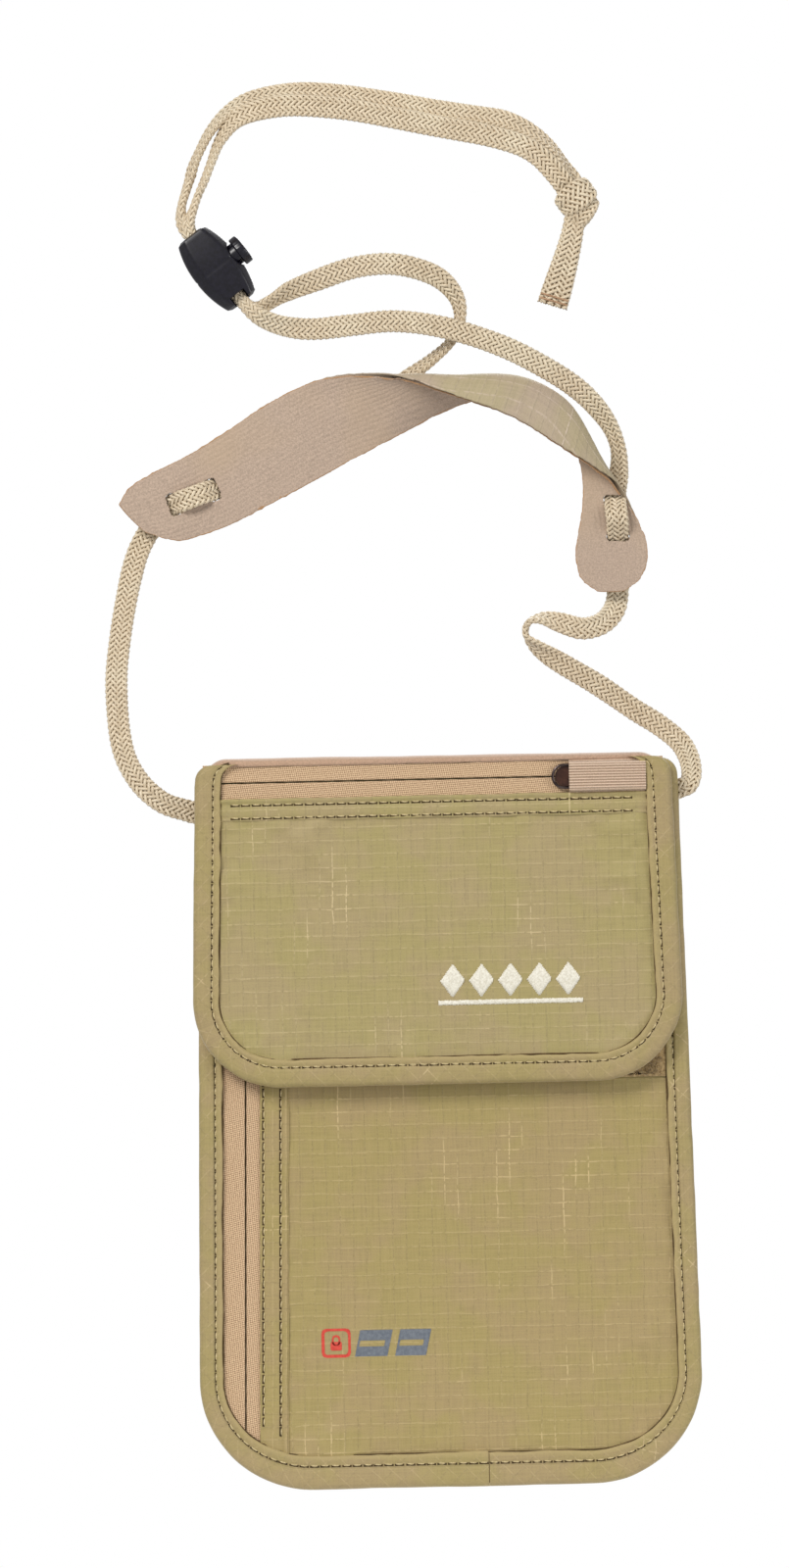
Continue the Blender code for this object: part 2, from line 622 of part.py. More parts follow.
# Neck pad: upper edge, middle and lower edge of each cross-section, as x, y, z
PAD_SECTIONS = [
    ((-85.3, 5.5, 171.6), (-82.4, 5.4, 168.0), (-78.2, 5.5, 164.0)),
    ((-82.6, 5.8, 175.9), (-76.4, 5.4, 169.0), (-70.2, 5.6, 161.6)),
    ((-77.3, 6.0, 179.4), (-70.9, 5.6, 170.9), (-64.2, 5.8, 162.4)),
    ((-69.1, 6.2, 183.3), (-62.6, 5.8, 174.2), (-56.0, 6.0, 165.2)),
    ((-55.5, 6.4, 191.0), (-50.4, 6.0, 180.6), (-45.2, 6.2, 170.2)),
    ((-42.0, 6.4, 199.6), (-36.6, 6.2, 188.6), (-31.2, 6.8, 177.5)),
    ((-29.0, 5.4, 205.0), (-24.2, 6.8, 194.8), (-18.6, 8.4, 184.2)),
    ((-17.0, 3.4, 206.0), (-13.0, 6.6, 199.0), (-7.0, 11.0, 190.4)),
    ((-6.5, 1.0, 204.6), (-2.0, 4.6, 203.6), (4.6, 13.2, 196.4)),
    ((6.0, -1.6, 200.0), (10.0, 3.6, 205.0), (15.0, 15.0, 199.6)),
    ((22.5, -3.4, 193.6), (25.4, 3.0, 204.0), (27.0, 15.6, 197.4)),
    ((35.8, -3.2, 185.2), (37.4, 2.6, 197.6), (36.2, 13.6, 190.6)),
    ((44.3, -1.6, 179.6), (44.0, 3.0, 187.6), (41.0, 9.8, 184.6)),
    ((50.4, 1.6, 175.4), (47.0, 4.4, 179.2), (43.0, 7.4, 178.0)),
    ((54.0, 5.2, 170.4), (48.6, 5.9, 171.4), (42.6, 6.4, 171.4)),
    ((57.6, 6.2, 163.2), (49.6, 5.9, 163.2), (41.2, 6.2, 163.2)),
    ((59.6, 6.2, 155.6), (49.8, 5.8, 155.6), (40.0, 6.2, 155.8)),
    ((57.6, 6.2, 148.6), (49.4, 5.9, 148.0), (41.2, 6.2, 148.8)),
    ((52.8, 6.1, 145.0), (49.4, 6.0, 144.8), (45.8, 6.1, 145.0)),
]
PAD_SLITS = [(-70.3, 171.4, 19.0), (-59.4, 175.2, 19.0), (51.6, 160.2, 90.0), (51.0, 169.9, 90.0)]

# Overhand knot and the two tails below it: x, y, z and width, thickness of the bundle
KNOT_PATH = [
    (39.9, 4.0, 256.7, 8.5, 4.6), (41.4, 4.0, 254.6, 11.6, 6.2), (42.8, 4.0, 251.8, 11.6, 6.6),
    (42.9, 4.0, 248.4, 10.6, 6.0), (42.2, 4.0, 245.6, 7.4, 3.4), (39.8, 4.0, 239.6, 7.2, 2.8),
    (37.2, 4.0, 233.0, 7.6, 2.7), (34.8, 4.0, 225.8, 8.0, 2.6), (34.3, 4.0, 224.0, 8.0, 2.6),
]


def make_cords():
    made = []
    for name, points in (("neck_cord_left", LEFT_CORD), ("neck_cord_right", RIGHT_CORD)):
        path = smooth_path(points, CORD_STEPS)
        made.append(rings_solid(name, ribbon_rings(path, CORD_WIDTH, CORD_THICK), "cord"))
    return made


def make_knot():
    path = smooth_path(KNOT_PATH, 16)
    rings = []
    for i, row in enumerate(path):
        ahead, behind = path[min(i + 1, len(path) - 1)], path[max(i - 1, 0)]
        tangent = Vector((ahead[0] - behind[0], 0.0, ahead[2] - behind[2])).normalized()
        side = Vector((tangent.z, 0.0, -tangent.x))
        ring = []
        for j in range(12):
            turn = 2 * math.pi * j / 12
            wide, deep = math.cos(turn), math.sin(turn)
            wide = math.copysign(abs(wide) ** 0.6, wide)
            deep = math.copysign(abs(deep) ** 0.6, deep)
            ring.append(tuple(Vector(row[:3]) + side * (0.5 * row[3] * wide)
                              + Vector((0.0, 0.5 * row[4] * deep, 0.0))))
        rings.append(ring)
    return rings_solid("cord_knot", rings, "cord")


def pad_surface():
    """Grid of points on the pad's middle surface, with the direction out of its ripstop side."""
    edges = [smooth_path([section[k] for section in PAD_SECTIONS], PAD_STEPS) for k in range(3)]
    grid = []
    for i in range(PAD_STEPS):
        upper, middle, lower = (Vector(edge[i]) for edge in edges)
        control = 2 * middle - 0.5 * (upper + lower)
        row = []
        for j in range(PAD_CELLS + 1):
            t = j / PAD_CELLS
            row.append(upper * (1 - t) ** 2 + control * (2 * t * (1 - t)) + lower * t**2)
        grid.append(row)
    outwards = []
    for i in range(PAD_STEPS):
        row = []
        for j in range(PAD_CELLS + 1):
            along = grid[min(i + 1, PAD_STEPS - 1)][j] - grid[max(i - 1, 0)][j]
            across = grid[i][min(j + 1, PAD_CELLS)] - grid[i][max(j - 1, 0)]
            row.append(along.cross(across).normalized())
        outwards.append(row)
    return grid, outwards


def sheet_faces(rows, columns):
    """Triangles of two parallel grids and the rim between them, cut along the same diagonals."""
    layer = rows * columns
    faces = []
    for i in range(rows - 1):
        for j in range(columns - 1):
            a = i * columns + j
            b, c, d = a + 1, a + columns + 1, a + columns
            for first in (0, layer):
                faces += [(first + a, first + b, first + c), (first + a, first + c, first + d)]
    top = list(range(columns))
    right = [i * columns + columns - 1 for i in range(1, rows)]
    bottom = [(rows - 1) * columns + j for j in range(columns - 2, -1, -1)]
    left = [i * columns for i in range(rows - 2, 0, -1)]
    rim = top + right + bottom + left
    for here, there in zip(rim, rim[1:] + rim[:1]):
        faces.append((here, there, layer + there, layer + here))
    return faces


def pad_layer(name, offsets, look):
    grid, outwards = pad_surface()
    points = []
    for offset in offsets:
        for row, normals in zip(grid, outwards):
            points += [tuple(p - n * offset) for p, n in zip(row, normals)]
    obj = solid(name, points, sheet_faces(PAD_STEPS, PAD_CELLS + 1), look, smooth=True)
    for number, (x, z, heading) in enumerate(PAD_SLITS):
        turned = Matrix.Translation(Vector((x, 5.9, z)) * MM) @ Matrix.Rotation(-math.radians(heading), 4, "Y")
        cutter = helper_box(f"{name}_slit_{number}", (-2.7, -3.0, -3.9), (2.7, 3.0, 3.9), turned)
        boolean(obj, cutter, "DIFFERENCE")
    return obj


# Cord lock ------------------------------------------------------------------------------------


def lock_frame():
    """X along the button's travel, Y to the back, Z along the cords."""
    matrix = Matrix((LOCK_SIDE, Vector((0.0, 1.0, 0.0)), LOCK_AXIS)).transposed().to_4x4()
    matrix.translation = LOCK_CENTRE * MM
    return matrix


def turned_solid(name, profile, look, sides=20):
    """A body of revolution about the button's axis, from (distance along it, radius)."""
    rings = []
    for along, radius in profile:
        rings.append([
            (along, radius * math.cos(2 * math.pi * j / sides), radius * math.sin(2 * math.pi * j / sides))
            for j in range(sides)
        ])
    obj = rings_solid(name, rings, look)
    obj.matrix_world = lock_frame()
    return obj


def make_lock_body():
    rings = []
    stations = 9
    sides = 24
    for i in range(stations):
        share = -1 + 2 * i / (stations - 1)
        bulge = 1 - 0.34 * abs(share) ** 2.2
        rim = 0.45 if i in (0, stations - 1) else 0.0
        half_width = LOCK_HALF_WIDTH * bulge - rim
        half_depth = LOCK_HALF_DEPTH * (1 - 0.16 * abs(share) ** 2.2) - rim
        ring = []
        for j in range(sides):
            turn = 2 * math.pi * j / sides
            wide, deep = math.cos(turn), math.sin(turn)
            wide = math.copysign(abs(wide) ** 0.45, wide)
            deep = math.copysign(abs(deep) ** 0.45, deep)
            ring.append((half_width * wide, half_depth * deep, LOCK_HALF_LENGTH * share))
        rings.append(ring)
    obj = rings_solid("cord_lock_body", rings, "black_plastic")
    obj.matrix_world = lock_frame()
    reach = LOCK_HALF_LENGTH + 1.0
    hole = helper_box("cord_lock_hole", (-LOCK_HOLE[0], -LOCK_HOLE[1], -reach),
                      (LOCK_HOLE[0], LOCK_HOLE[1], reach), lock_frame())
    boolean(obj, hole, "DIFFERENCE")
    bore = turned_solid("cord_lock_bore", [(BORE_BOTTOM, BORE_RADIUS), (LOCK_HALF_WIDTH + 2, BORE_RADIUS)],
                        "black_plastic")
    boolean(obj, hide_helper(bore), "DIFFERENCE")
    return obj


def make_lock_button():
    profile = [(PLUNGER_END, PLUNGER_RADIUS), (CAP_UNDER, PLUNGER_RADIUS), (CAP_UNDER, CAP_RADIUS),
               (CAP_TOP - 0.5, CAP_RADIUS), (CAP_TOP, CAP_RADIUS - 0.5)]
    obj = turned_solid("cord_lock_button", profile, "black_plastic")
    slot = helper_box("cord_lock_slot", (PLUNGER_SLOT[0], -LOCK_HOLE[1], -5.0),
                      (PLUNGER_SLOT[1], LOCK_HOLE[1], 5.0), lock_frame())
    return boolean(obj, slot, "DIFFERENCE")


def make_lock_spring():
    radius, wire, turns, steps, sides = 2.2, 0.18, 2.5, 40, 6
    start, end = BORE_BOTTOM + 0.35, PLUNGER_END - 0.35
    rings = []
    for i in range(steps + 1):
        share = i / steps
        angle = 2 * math.pi * turns * share
        spoke = Vector((0.0, math.cos(angle), math.sin(angle)))
        centre = spoke * radius + Vector((start + (end - start) * share, 0.0, 0.0))
        ring = []
        for j in range(sides):
            turn = 2 * math.pi * j / sides
            ring.append(tuple(centre + spoke * (wire * math.cos(turn)) + Vector((wire * math.sin(turn), 0, 0))))
        rings.append(ring)
    obj = rings_solid("cord_lock_spring", rings, "spring_steel")
    obj.matrix_world = lock_frame()
    return obj


def main():
    clear_scene()
    make_body()
    make_flap()
    make_sliders()
    make_cords()
    make_knot()
    pad_layer("neck_pad_lining", PAD_LINING, "skin")
    pad_layer("neck_pad_face", PAD_FACE, "ripstop")
    make_lock_body()
    make_lock_button()
    make_lock_spring()


main()
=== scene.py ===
"""Looks of the neck pouch wallet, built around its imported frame. Lengths are in millimetres."""

import math

import bmesh
import bpy
import numpy as np
from mathutils import Matrix, Vector


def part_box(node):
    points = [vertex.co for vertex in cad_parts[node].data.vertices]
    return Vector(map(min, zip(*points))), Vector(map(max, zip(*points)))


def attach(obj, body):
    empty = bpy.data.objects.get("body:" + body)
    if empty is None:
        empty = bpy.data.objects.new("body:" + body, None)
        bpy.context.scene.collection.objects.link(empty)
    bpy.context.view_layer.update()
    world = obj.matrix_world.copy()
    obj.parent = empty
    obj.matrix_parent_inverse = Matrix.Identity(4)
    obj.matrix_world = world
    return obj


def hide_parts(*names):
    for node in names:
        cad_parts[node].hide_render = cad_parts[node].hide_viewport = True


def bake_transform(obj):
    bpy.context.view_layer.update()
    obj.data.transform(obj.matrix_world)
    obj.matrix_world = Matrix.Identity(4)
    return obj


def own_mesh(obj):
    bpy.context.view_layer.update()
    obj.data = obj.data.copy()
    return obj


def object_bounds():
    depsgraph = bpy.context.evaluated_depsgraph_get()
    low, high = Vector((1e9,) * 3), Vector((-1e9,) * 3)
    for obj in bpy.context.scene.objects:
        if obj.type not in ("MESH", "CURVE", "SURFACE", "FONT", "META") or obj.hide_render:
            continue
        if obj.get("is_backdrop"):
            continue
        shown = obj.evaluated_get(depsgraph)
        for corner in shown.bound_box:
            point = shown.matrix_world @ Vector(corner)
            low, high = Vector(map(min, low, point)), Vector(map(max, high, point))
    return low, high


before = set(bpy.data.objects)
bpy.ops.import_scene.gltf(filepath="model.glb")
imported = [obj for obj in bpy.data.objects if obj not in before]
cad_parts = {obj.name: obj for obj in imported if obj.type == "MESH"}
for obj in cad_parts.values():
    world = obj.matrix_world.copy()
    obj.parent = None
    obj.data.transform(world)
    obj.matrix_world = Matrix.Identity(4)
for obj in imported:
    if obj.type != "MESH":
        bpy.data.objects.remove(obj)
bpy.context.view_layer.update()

MM = 0.001
GRID_U, GRID_V = 3.6, 3.72  # spacing of the ripstop's heavy yarns
STITCH_PITCH, STITCH_LENGTH, THREAD = 2.9, 2.2, 0.23
TAPE_EDGE_V = 20.0  # V coordinate of the edge tapes' sewn edge
RIBBON_RIB = 0.74
FRONT, BACK = np.array([0.0, -1.0, 0.0]), np.array([0.0, 1.0, 0.0])
rng = np.random.default_rng(11)


# Meshes ---------------------------------------------------------------------------------------


def box_mm(node):
    """Lowest and highest corner of a CAD node."""
    low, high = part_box(node)
    return np.array(low) / MM, np.array(high) / MM


def front_of(node):
    return box_mm(node)[0][1]


def new_piece(name, points, groups, look, body, uv=None, smooth=True, replaces=(), slot=None):
    """An object from points and arrays of faces that each have one size. Without a body it doesn't ride."""
    mesh = bpy.data.meshes.new(name)
    points = np.asarray(points, dtype=np.float64).reshape(-1, 3) * MM
    groups = [np.asarray(group, dtype=np.int32) for group in groups if len(group)]
    corners = np.concatenate([group.ravel() for group in groups])
    sizes = np.concatenate([np.full(len(group), group.shape[1]) for group in groups])
    mesh.vertices.add(len(points))
    mesh.vertices.foreach_set("co", points.astype(np.float32).ravel())
    mesh.loops.add(len(corners))
    mesh.loops.foreach_set("vertex_index", corners)
    mesh.polygons.add(len(sizes))
    mesh.polygons.foreach_set("loop_start", np.r_[0, np.cumsum(sizes)[:-1]].astype(np.int32))
    mesh.update(calc_edges=True)
    if uv is not None:
        layer = mesh.uv_layers.new(name="UVMap")
        layer.data.foreach_set("uv", np.asarray(uv, dtype=np.float32).reshape(-1, 2)[corners].ravel())
    mesh.validate()
    if smooth:
        mesh.shade_smooth()
    mesh.materials.append(LOOKS[look])
    piece = bpy.data.objects.new(name, mesh)
    bpy.context.scene.collection.objects.link(piece)
    if body:
        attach(piece, body)
    if replaces:
        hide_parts(*replaces)
    return piece


def grid_faces(rows, columns, loop_rows=False, loop_columns=False):
    i = np.arange(rows if loop_rows else rows - 1)
    j = np.arange(columns if loop_columns else columns - 1)
    i, j = np.meshgrid(i, j, indexing="ij")
    next_i, next_j = (i + 1) % rows, (j + 1) % columns
    a, b, c, d = i * columns + j, i * columns + next_j, next_i * columns + next_j, next_i * columns + j
    return np.stack([a, b, c, d], axis=-1).reshape(-1, 4)


def capped_tube(name, rings, look, body, **settings):
    """A piece from rings of points (steps, sides, 3), closed at both ends."""
    steps, sides = rings.shape[:2]
    caps = np.array([range(sides)[::-1], range((steps - 1) * sides, steps * sides)])
    faces = [grid_faces(steps, sides, loop_columns=True), caps]
    return turned_out(new_piece(name, rings, faces, look, body, **settings))


def tubes(centres, across, through, sides=6):
    """Points and faces of many capped tubes. The arrays are (tubes, steps, 3); across and through
    carry the tube's half width and half thickness."""
    count, steps = centres.shape[:2]
    turn = circle(sides)
    points = (
        centres[:, :, None, :]
        + across[:, :, None, :] * np.cos(turn)[None, None, :, None]
        + through[:, :, None, :] * np.sin(turn)[None, None, :, None]
    )
    shift = np.arange(count)[:, None] * steps * sides
    quads = (grid_faces(steps, sides, loop_columns=True)[None] + shift[..., None]).reshape(-1, 4)
    low = shift + np.arange(sides)[::-1]
    high = shift + (steps - 1) * sides + np.arange(sides)
    return points.reshape(-1, 3), [quads, np.concatenate([low, high])]


def kept_cells(rows, columns, kept, corners=4):
    """Faces of a grid that have at least so many corners kept, renumbered, and the points they use."""
    faces = grid_faces(rows, columns)
    faces = faces[kept.ravel()[faces].sum(axis=1) >= corners]
    used = np.unique(faces)
    renumber = np.full(rows * columns, -1)
    renumber[used] = np.arange(len(used))
    return renumber[faces], used


def sheet(name, points, kept, look, body, facing, uv, thickness, **settings):
    """The kept part of a grid of points as a cloth that faces the front (-1) or the back (1)."""
    faces, used = kept_cells(*points.shape[:2], kept)
    uv = np.stack(uv, axis=-1).reshape(-1, 2)[used]
    piece = new_piece(name, points.reshape(-1, 3)[used], [faces], look, body, uv, **settings)
    return thicken(facing_y(piece, facing), thickness)


def facing_y(piece, facing):
    normals = np.empty(3 * len(piece.data.polygons), dtype=np.float32)
    piece.data.polygons.foreach_get("normal", normals)
    if normals[1::3].sum() * facing < 0:
        piece.data.flip_normals()
    return piece


def turned_out(piece):
    """Turns every face outwards."""
    work = bmesh.new()
    work.from_mesh(piece.data)
    bmesh.ops.recalc_face_normals(work, faces=work.faces)
    work.to_mesh(piece.data)
    work.free()
    return piece


def thicken(piece, thickness, offset=-1.0):
    modifier = piece.modifiers.new("thickness", "SOLIDIFY")
    modifier.thickness = thickness * MM
    modifier.offset = offset
    return piece


def round_edges(piece, width, angle):
    modifier = piece.modifiers.new("edges", "BEVEL")
    modifier.width = width * MM
    modifier.segments = 3
    modifier.limit_method = "ANGLE"
    modifier.angle_limit = math.radians(angle)
    return piece


def apply_modifiers(piece):
    """Makes the evaluated shape the mesh itself."""
    graph = bpy.context.evaluated_depsgraph_get()
    mesh = bpy.data.meshes.new_from_object(piece.evaluated_get(graph))
    piece.modifiers.clear()
    piece.data = mesh
    return piece


# Curves and noise -----------------------------------------------------------------------------


def circle(sides):
    return 2 * np.pi * np.arange(sides) / sides


def unit(vectors):
    return vectors / np.linalg.norm(vectors, axis=-1, keepdims=True)


def run_of(points):
    """Distance along rows of points."""
    return np.r_[0.0, np.cumsum(np.linalg.norm(np.diff(points, axis=0), axis=1))]


def read_off(wanted, lengths, rows):
    """Rows of numbers at wanted distances."""
    return np.stack([np.interp(wanted, lengths, rows[:, k]) for k in range(rows.shape[1])], axis=-1)


def smoothstep(low, high, value):
    t = np.clip((value - low) / (high - low), 0, 1)
    return t * t * (3 - 2 * t)


def bell(value, width):
    return np.exp(-((value / width) ** 2))


def blended(table, i, j):
    """Smooth values between the entries of a table that repeats, at fractional places."""
    i0, j0 = np.floor(i).astype(int), np.floor(j).astype(int)
    fi, fj = i - i0, j - j0
    fi, fj = fi * fi * (3 - 2 * fi), fj * fj * (3 - 2 * fj)
    rows, columns = table.shape
    i0, i1, j0, j1 = i0 % rows, (i0 + 1) % rows, j0 % columns, (j0 + 1) % columns
    low = table[i0, j0] * (1 - fi) + table[i1, j0] * fi
    return low * (1 - fj) + (table[i0, j1] * (1 - fi) + table[i1, j1] * fi) * fj


def value_noise(x, y, seed):
    """Smooth noise from -1 to 1 on a plane whose cells are one unit wide."""
    return blended(np.random.default_rng(seed).uniform(-1, 1, (64, 64)), x, y)


def line_noise(along, cell, row, seed):
    return value_noise(along / cell, along * 0 + row, seed)


# Materials ------------------------------------------------------------------------------------


class Value:
    """An output of a look's nodes, with ordinary arithmetic."""

    def __init__(self, look, socket):
        self.look, self.socket = look, socket

    def __add__(self, other):
        return self.look.math("ADD", self, other)

    def __sub__(self, other):
        return self.look.math("SUBTRACT", self, other)

    def __rsub__(self, other):
        return self.look.math("SUBTRACT", other, self)

    def __mul__(self, other):
        return self.look.math("MULTIPLY", self, other)

    def __truediv__(self, other):
        return self.look.math("DIVIDE", self, other)

    def __abs__(self):
        return self.look.math("ABSOLUTE", self)


class Look:
    """A Principled material and short ways to add nodes to it."""

    def __init__(self, name, roughness=0.7, metallic=0.0):
        self.material = bpy.data.materials.new(name)
        self.material.use_nodes = True
        self.tree = self.material.node_tree
        self.shader = self.tree.nodes["Principled BSDF"]
        self.put(self.shader, Roughness=roughness, Metallic=metallic)

    def put(self, node, **inputs):
        """Sets inputs by name, with a space for each underscore, to a number, a colour or a value."""
        for name, value in inputs.items():
            self.put_at(node, name.replace("_", " "), value)

    def put_at(self, node, key, value):
        if isinstance(value, Value):
            self.tree.links.new(value.socket, node.inputs[key])
        else:
            node.inputs[key].default_value = value

    def node(self, kind, output, settings=(), **inputs):
        made = self.tree.nodes.new("ShaderNode" + kind)
        for key, value in dict(settings).items():
            setattr(made, key, value)
        self.put(made, **inputs)
        return Value(self, made.outputs[output])

    def math(self, operation, a, b=0.0):
        made = self.tree.nodes.new("ShaderNodeMath")
        made.operation = operation
        self.put_at(made, 0, a)
        self.put_at(made, 1, b)
        return Value(self, made.outputs[0])

    def coordinates(self):
        """U, V and both together, in millimetres."""
        both = self.node("UVMap", 0)
        split = self.tree.nodes.new("ShaderNodeSeparateXYZ")
        self.put_at(split, 0, both)
        return Value(self, split.outputs[0]), Value(self, split.outputs[1]), both

    def position(self):
        return self.node("TexCoord", "Object")

    def noise(self, vector, scale, detail=2.0, roughness=0.5, stretch=None):
        if stretch:
            vector = self.node("Mapping", 0, Vector=vector, Scale=stretch)
        return self.node("TexNoise", "Fac", Vector=vector, Scale=scale, Detail=detail, Roughness=roughness)

    def mix(self, share, a, b):
        made = self.tree.nodes.new("ShaderNodeMix")
        made.data_type = "RGBA"
        for key, value in (("Factor", share), ("A", a), ("B", b)):
            self.put_at(made, key, value)
        return Value(self, made.outputs["Result"])

    def steps(self, value, low, high):
        settings = {"interpolation_type": "SMOOTHSTEP"}
        return self.node("MapRange", "Result", settings, Value=value, From_Min=low, From_Max=high)

    def wave(self, value, period):
        """A sine of a length, from -1 to 1."""
        return self.math("SINE", value * (2 * math.pi / period))

    def line(self, value, period, half_width):
        """1 along lines spaced by period, 0 between them."""
        return 1.0 - self.steps(self.math("PINGPONG", value, period / 2), half_width * 0.4, half_width)

    def bump(self, height, strength, distance):
        return self.node("Bump", 0, Strength=strength, Distance=distance * MM, Height=height)

    def finish(self, colour, normal, roughness, sheen=0.0, sheen_tint=None):
        self.put(self.shader, Base_Color=colour, Normal=normal, Roughness=roughness, Sheen_Weight=sheen,
                 Sheen_Roughness=0.5)
        if sheen_tint:
            self.put(self.shader, Sheen_Tint=sheen_tint)
        return self.material


def rgb(red, green, blue):
    return (red, green, blue, 1.0)


def scaled(base, *factors):
    """A colour times one factor, or times one for each channel."""
    return rgb(*(min(1.0, channel * factor) for channel, factor in zip(base, factors * (3 // len(factors)))))


def ripstop_look(name, base, bias=False, strength=1.0):
    """Plain-woven nylon with a square grid of heavier yarns that catch the light in places, as painted
    highlights. On the bias it is the folded edge tape, whose sewn edge is paler, a painted highlight where
    the fold stands up."""
    look = Look(name)
    u, v, vector = look.coordinates()
    # Paler along the tape's sewn edge, where the fold stands up: a painted highlight.
    ridge = look.steps(abs(v - TAPE_EDGE_V), 1.5, 0.5) if bias else 0.0
    if bias:
        u, v = (u + v) * math.sqrt(0.5), (u - v) * math.sqrt(0.5)
    sway = (look.noise(vector, 0.14, 1.0) - 0.5) * 0.9
    lines_u = look.line(u + sway, GRID_U, 0.23)
    lines_v = look.line(v + sway, GRID_V, 0.23)
    patches = look.steps(look.noise(vector, 0.05, 2.0, 0.5, (1.7, 0.55, 1.0)), 0.54, 0.70)
    breaks = look.steps(look.noise(vector, 0.9, 1.0), 0.34, 0.54)
    bright_u = lines_u * breaks * (patches + 0.10)
    bright_v = lines_v * breaks * (patches * 0.5 + 0.34)
    lit = look.math("MAXIMUM", bright_u, bright_v) * strength
    dots = look.steps(look.noise(vector, 1.5, 1.0), 0.40, 0.56)
    shade = lines_u * dots * (1.0 - patches)
    weave = look.wave(u, 0.5) * look.wave(v, 0.5)
    cloud = look.noise(vector, 0.045, 3.0, 0.6)
    streak_u = look.noise(vector, 1.0, 1.0, 0.5, (1.9, 0.10, 1.0))
    streak_v = look.noise(vector, 1.0, 1.0, 0.5, (0.10, 1.9, 1.0))
    streaks = streak_u + streak_v
    grain = look.noise(vector, 3.2, 1.0)
    olive, rosy = scaled(base, 0.985, 1.01, 0.90), scaled(base, 1.02, 0.985, 1.10)
    dark, light, pale = scaled(base, 0.60), scaled(base, 1.15), scaled(base, 1.75, 1.74, 2.2)
    colour = look.mix(look.steps(cloud, 0.40, 0.60), olive, rosy)
    for share, strong, target in (
        (look.steps(streaks, 0.85, 1.25), 0.30, light),
        (look.steps(streaks, 1.0, 0.72), 0.16, dark),
        (look.steps(grain, 0.55, 0.30), 0.18, dark),
        (shade, 0.42 * strength, dark),
        (lit, 0.75, pale),
    ):
        colour = look.mix(share * strong, colour, target)
    if bias:
        colour = look.mix(ridge * 0.55, colour, light)
    normal = look.bump(weave * 0.3 + look.math("MAXIMUM", lines_u, lines_v), 0.45, 0.1)
    look.put(look.shader, Specular_IOR_Level=0.45)
    return look.finish(colour, normal, 0.6 - lit * 0.15, 0.2, rgb(1.0, 0.95, 0.8))


def zip_tape_look():
    """Herringbone-like twill with small shaded pits."""
    look = Look("zip_tape_twill")
    u, v, vector = look.coordinates()
    pits = look.wave(u + v * 0.7, 0.95) * look.wave(u - v * 1.4, 1.15)
    grain = look.noise(vector, 2.2, 2.0, 0.6)
    tone = look.steps(pits * 0.32 + grain * 0.6, -0.05, 0.62)
    colour = look.mix(tone, rgb(0.27, 0.145, 0.07), rgb(0.83, 0.60, 0.37))
    return look.finish(colour, look.bump(pits + grain, 0.6, 0.12), 0.75, 0.2)


def skin_look(name, base, edged=False):
    """Brushed soft fabric with a fine random nap; an edged one is scorched brown where it was cut."""
    look = Look(name)
    place = look.position()
    nap = look.noise(place, 2300.0, 3.0, 0.65)
    clouds = look.noise(place, 32.0, 2.0, 0.5)
    colour = look.mix(look.steps(nap, 0.30, 0.70), scaled(base, 0.80), scaled(base, 1.16))
    share = look.steps(clouds, 0.42, 0.66) * (0.5 if edged else 0.25)
    colour = look.mix(share, colour, scaled(base, 1.06, 1.03, 0.88))
    if edged:
        rim = look.node("Attribute", "Fac", {"attribute_name": "edge"})
        spots = look.steps(look.noise(place, 120.0, 3.0, 0.6), 0.62, 0.70)
        burn = look.steps(rim / (spots * 1.5 + 0.28), 1.0, 0.35)
        colour = look.mix(burn * 0.75, colour, rgb(0.40, 0.19, 0.055))
    return look.finish(colour, look.bump(nap, 0.5, 0.12), 0.9, 0.45, rgb(1.0, 0.9, 0.82))


def ribbon_look():
    """Grosgrain: even ribs across the ribbon, pale on top and dark between them as painted light and shade. V
    is zero at the ribbon's lower edge.
    """
    look = Look("grosgrain")
    u, v, vector = look.coordinates()
    ribs = look.math("COSINE", v * (2 * math.pi / RIBBON_RIB))
    warp = look.wave(u, 0.42)
    # The rib wave lightens the ribs and darkens the grooves: painted light and shade.
    tone = look.steps(ribs * 0.42 + look.noise(vector, 2.4, 2.0, 0.6) + warp * 0.06, 0.05, 0.85)
    colour = look.mix(tone, rgb(0.42, 0.285, 0.19), rgb(0.80, 0.61, 0.46))
    return look.finish(colour, look.bump(ribs + warp * 0.3, 0.8, 0.12), 0.7, 0.2)


def cord_look():
    """Glossy polyester strands; U runs along a strand and V tells strands apart."""
    look = Look("cord_strands")
    vector = look.coordinates()[2]
    fibres = look.noise(vector, 1.0, 2.0, 0.6, (0.5, 14.0, 1.0))
    tint = look.noise(look.position(), 60.0, 2.0, 0.6)
    colour = look.mix(look.steps(fibres, 0.3, 0.7), rgb(0.50, 0.385, 0.245), rgb(0.86, 0.74, 0.55))
    colour = look.mix(look.steps(tint, 0.46, 0.68) * 0.35, colour, rgb(0.84, 0.76, 0.58))
    look.put(look.shader, Specular_IOR_Level=0.6)
    return look.finish(colour, look.bump(fibres, 0.5, 0.05), 0.42, 0.15)


def plain_look(name, dark, light, scale, roughness, bump=0.3, distance=0.05, metallic=0.0, sheen=0.0):
    look = Look(name, roughness, metallic)
    place = look.position()
    grain = look.noise(place, scale, 3.0, 0.6)
    colour = look.mix(look.steps(grain, 0.3, 0.7), rgb(*dark), rgb(*light))
    wear = look.math("ADD", roughness - 0.08, look.noise(place, scale * 0.13, 2.0, 0.5) * 0.16)
    return look.finish(colour, look.bump(grain, bump, distance), wear, sheen)


def floor_look():
    look = Look("floor_paper", 0.9)
    grain = look.noise(look.position(), 60.0)
    colour = look.mix(grain, rgb(0.86, 0.86, 0.86), rgb(0.9, 0.9, 0.9))
    return look.finish(colour, look.bump(grain, 0.02, 0.1), 0.9)


